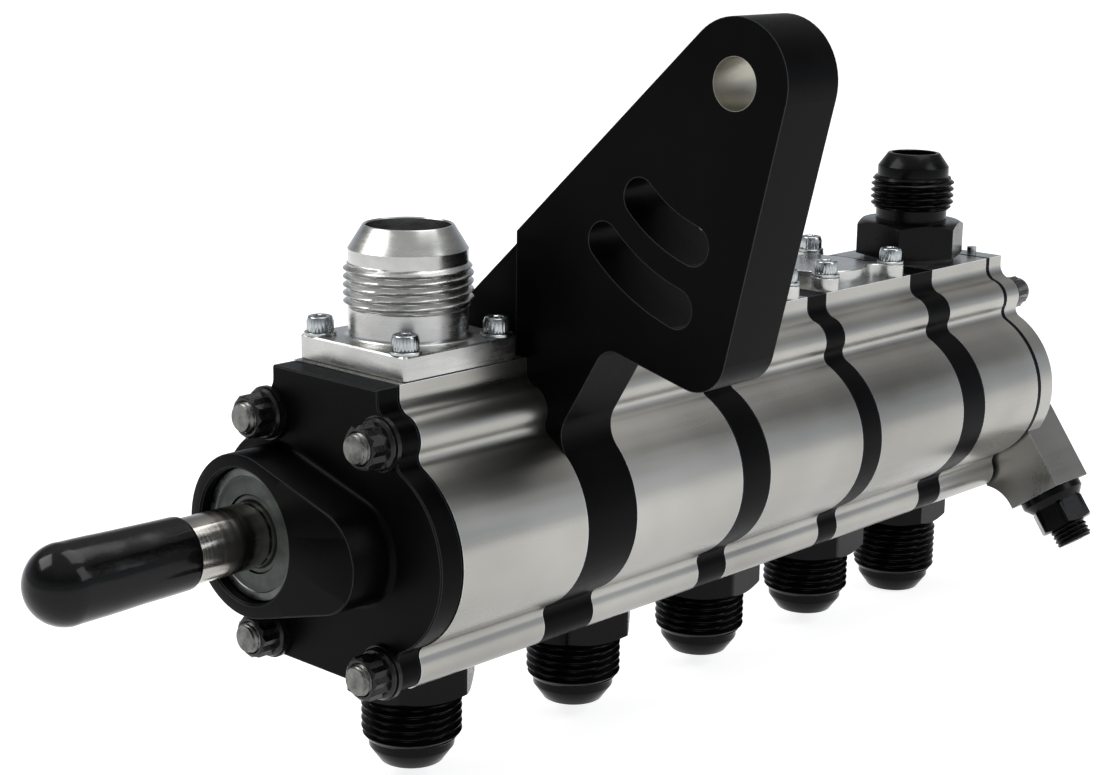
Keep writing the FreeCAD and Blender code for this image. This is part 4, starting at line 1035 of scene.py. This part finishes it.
def makeWorld():
    world = bpy.data.worlds.new("studio")
    bpy.context.scene.world = world
    world.use_nodes = True
    nodes, links = world.node_tree.nodes, world.node_tree.links
    place = nodes.new("ShaderNodeTexCoord")
    split = nodes.new("ShaderNodeSeparateXYZ")
    height = nodes.new("ShaderNodeMapRange")
    ramp = nodes.new("ShaderNodeValToRGB")
    height.inputs["From Min"].default_value = -1.0
    while len(ramp.color_ramp.elements) < len(skyBands):
        ramp.color_ramp.elements.new(0.5)
    for element, (position, colour) in zip(ramp.color_ramp.elements, skyBands):
        element.position = position
        element.color = (*colour, 1)
    links.new(place.outputs["Generated"], split.inputs["Vector"])
    links.new(split.outputs["Z"], height.inputs["Value"])
    links.new(height.outputs["Result"], ramp.inputs["Fac"])
    links.new(ramp.outputs["Color"], nodes["Background"].inputs["Color"])
    nodes["Background"].inputs["Strength"].default_value = skyStrength


softBoxes = [
    {"name": "keyBox", "at": (-0.9, -0.9, 1.3), "size": (1.1, 0.8), "power": 16,
     "colour": (1.0, 0.99, 0.97)},
    {"name": "sideBox", "at": (1.3, 0.5, 0.9), "size": (0.7, 1.0), "power": 8,
     "colour": (0.93, 0.96, 1.0)},
    {"name": "topBox", "at": (0.0, 0.5, 1.7), "size": (1.4, 1.0), "power": 16,
     "colour": (1.0, 1.0, 1.0)},
]


def makeLights(target):
    for spec in softBoxes:
        data = bpy.data.lights.new(spec["name"], "AREA")
        data.shape = "RECTANGLE"
        data.size, data.size_y = spec["size"]
        data.energy = spec["power"]
        data.color = spec["colour"]
        lamp = bpy.data.objects.new(spec["name"], data)
        lamp.location = target + Vector(spec["at"])
        lamp.rotation_mode = "QUATERNION"
        lamp.rotation_quaternion = (target - lamp.location).to_track_quat("-Z", "Y")
        bpy.context.scene.collection.objects.link(lamp)


cameraSpec = {"place": (0.3051, -0.38615, 0.0444), "azimuth": 43.13, "elevation": 13.36, "roll": 0.76,
              "lens": 69.6, "sensor": 36.0}


def makeCamera():
    data = bpy.data.cameras.new("camera")
    data.lens = cameraSpec["lens"]
    data.sensor_width = cameraSpec["sensor"]
    data.clip_start, data.clip_end = 0.01, 100.0
    camera = bpy.data.objects.new("camera", data)
    bpy.context.scene.collection.objects.link(camera)
    azimuth, elevation, roll = (math.radians(cameraSpec[key]) for key in ("azimuth", "elevation", "roll"))
    level = math.cos(elevation)
    ahead = Vector((-math.sin(azimuth) * level, math.cos(azimuth) * level, -math.sin(elevation)))
    right = Vector((math.cos(azimuth), math.sin(azimuth), 0))
    over = right.cross(ahead)
    leanRight = right * math.cos(roll) + over * math.sin(roll)
    leanOver = over * math.cos(roll) - right * math.sin(roll)
    rows = [[leanRight[k], leanOver[k], -ahead[k]] for k in range(3)]
    camera.matrix_world = Matrix.Translation(cameraSpec["place"]) @ Matrix(rows).to_4x4()
    bpy.context.scene.camera = camera


makeFloor()
makeWorld()
makeLights(middle(cadBox))
makeCamera()
view = bpy.context.scene.view_settings
view.view_transform = "Standard"
view.exposure = 0.0
print("stage, light and camera made")
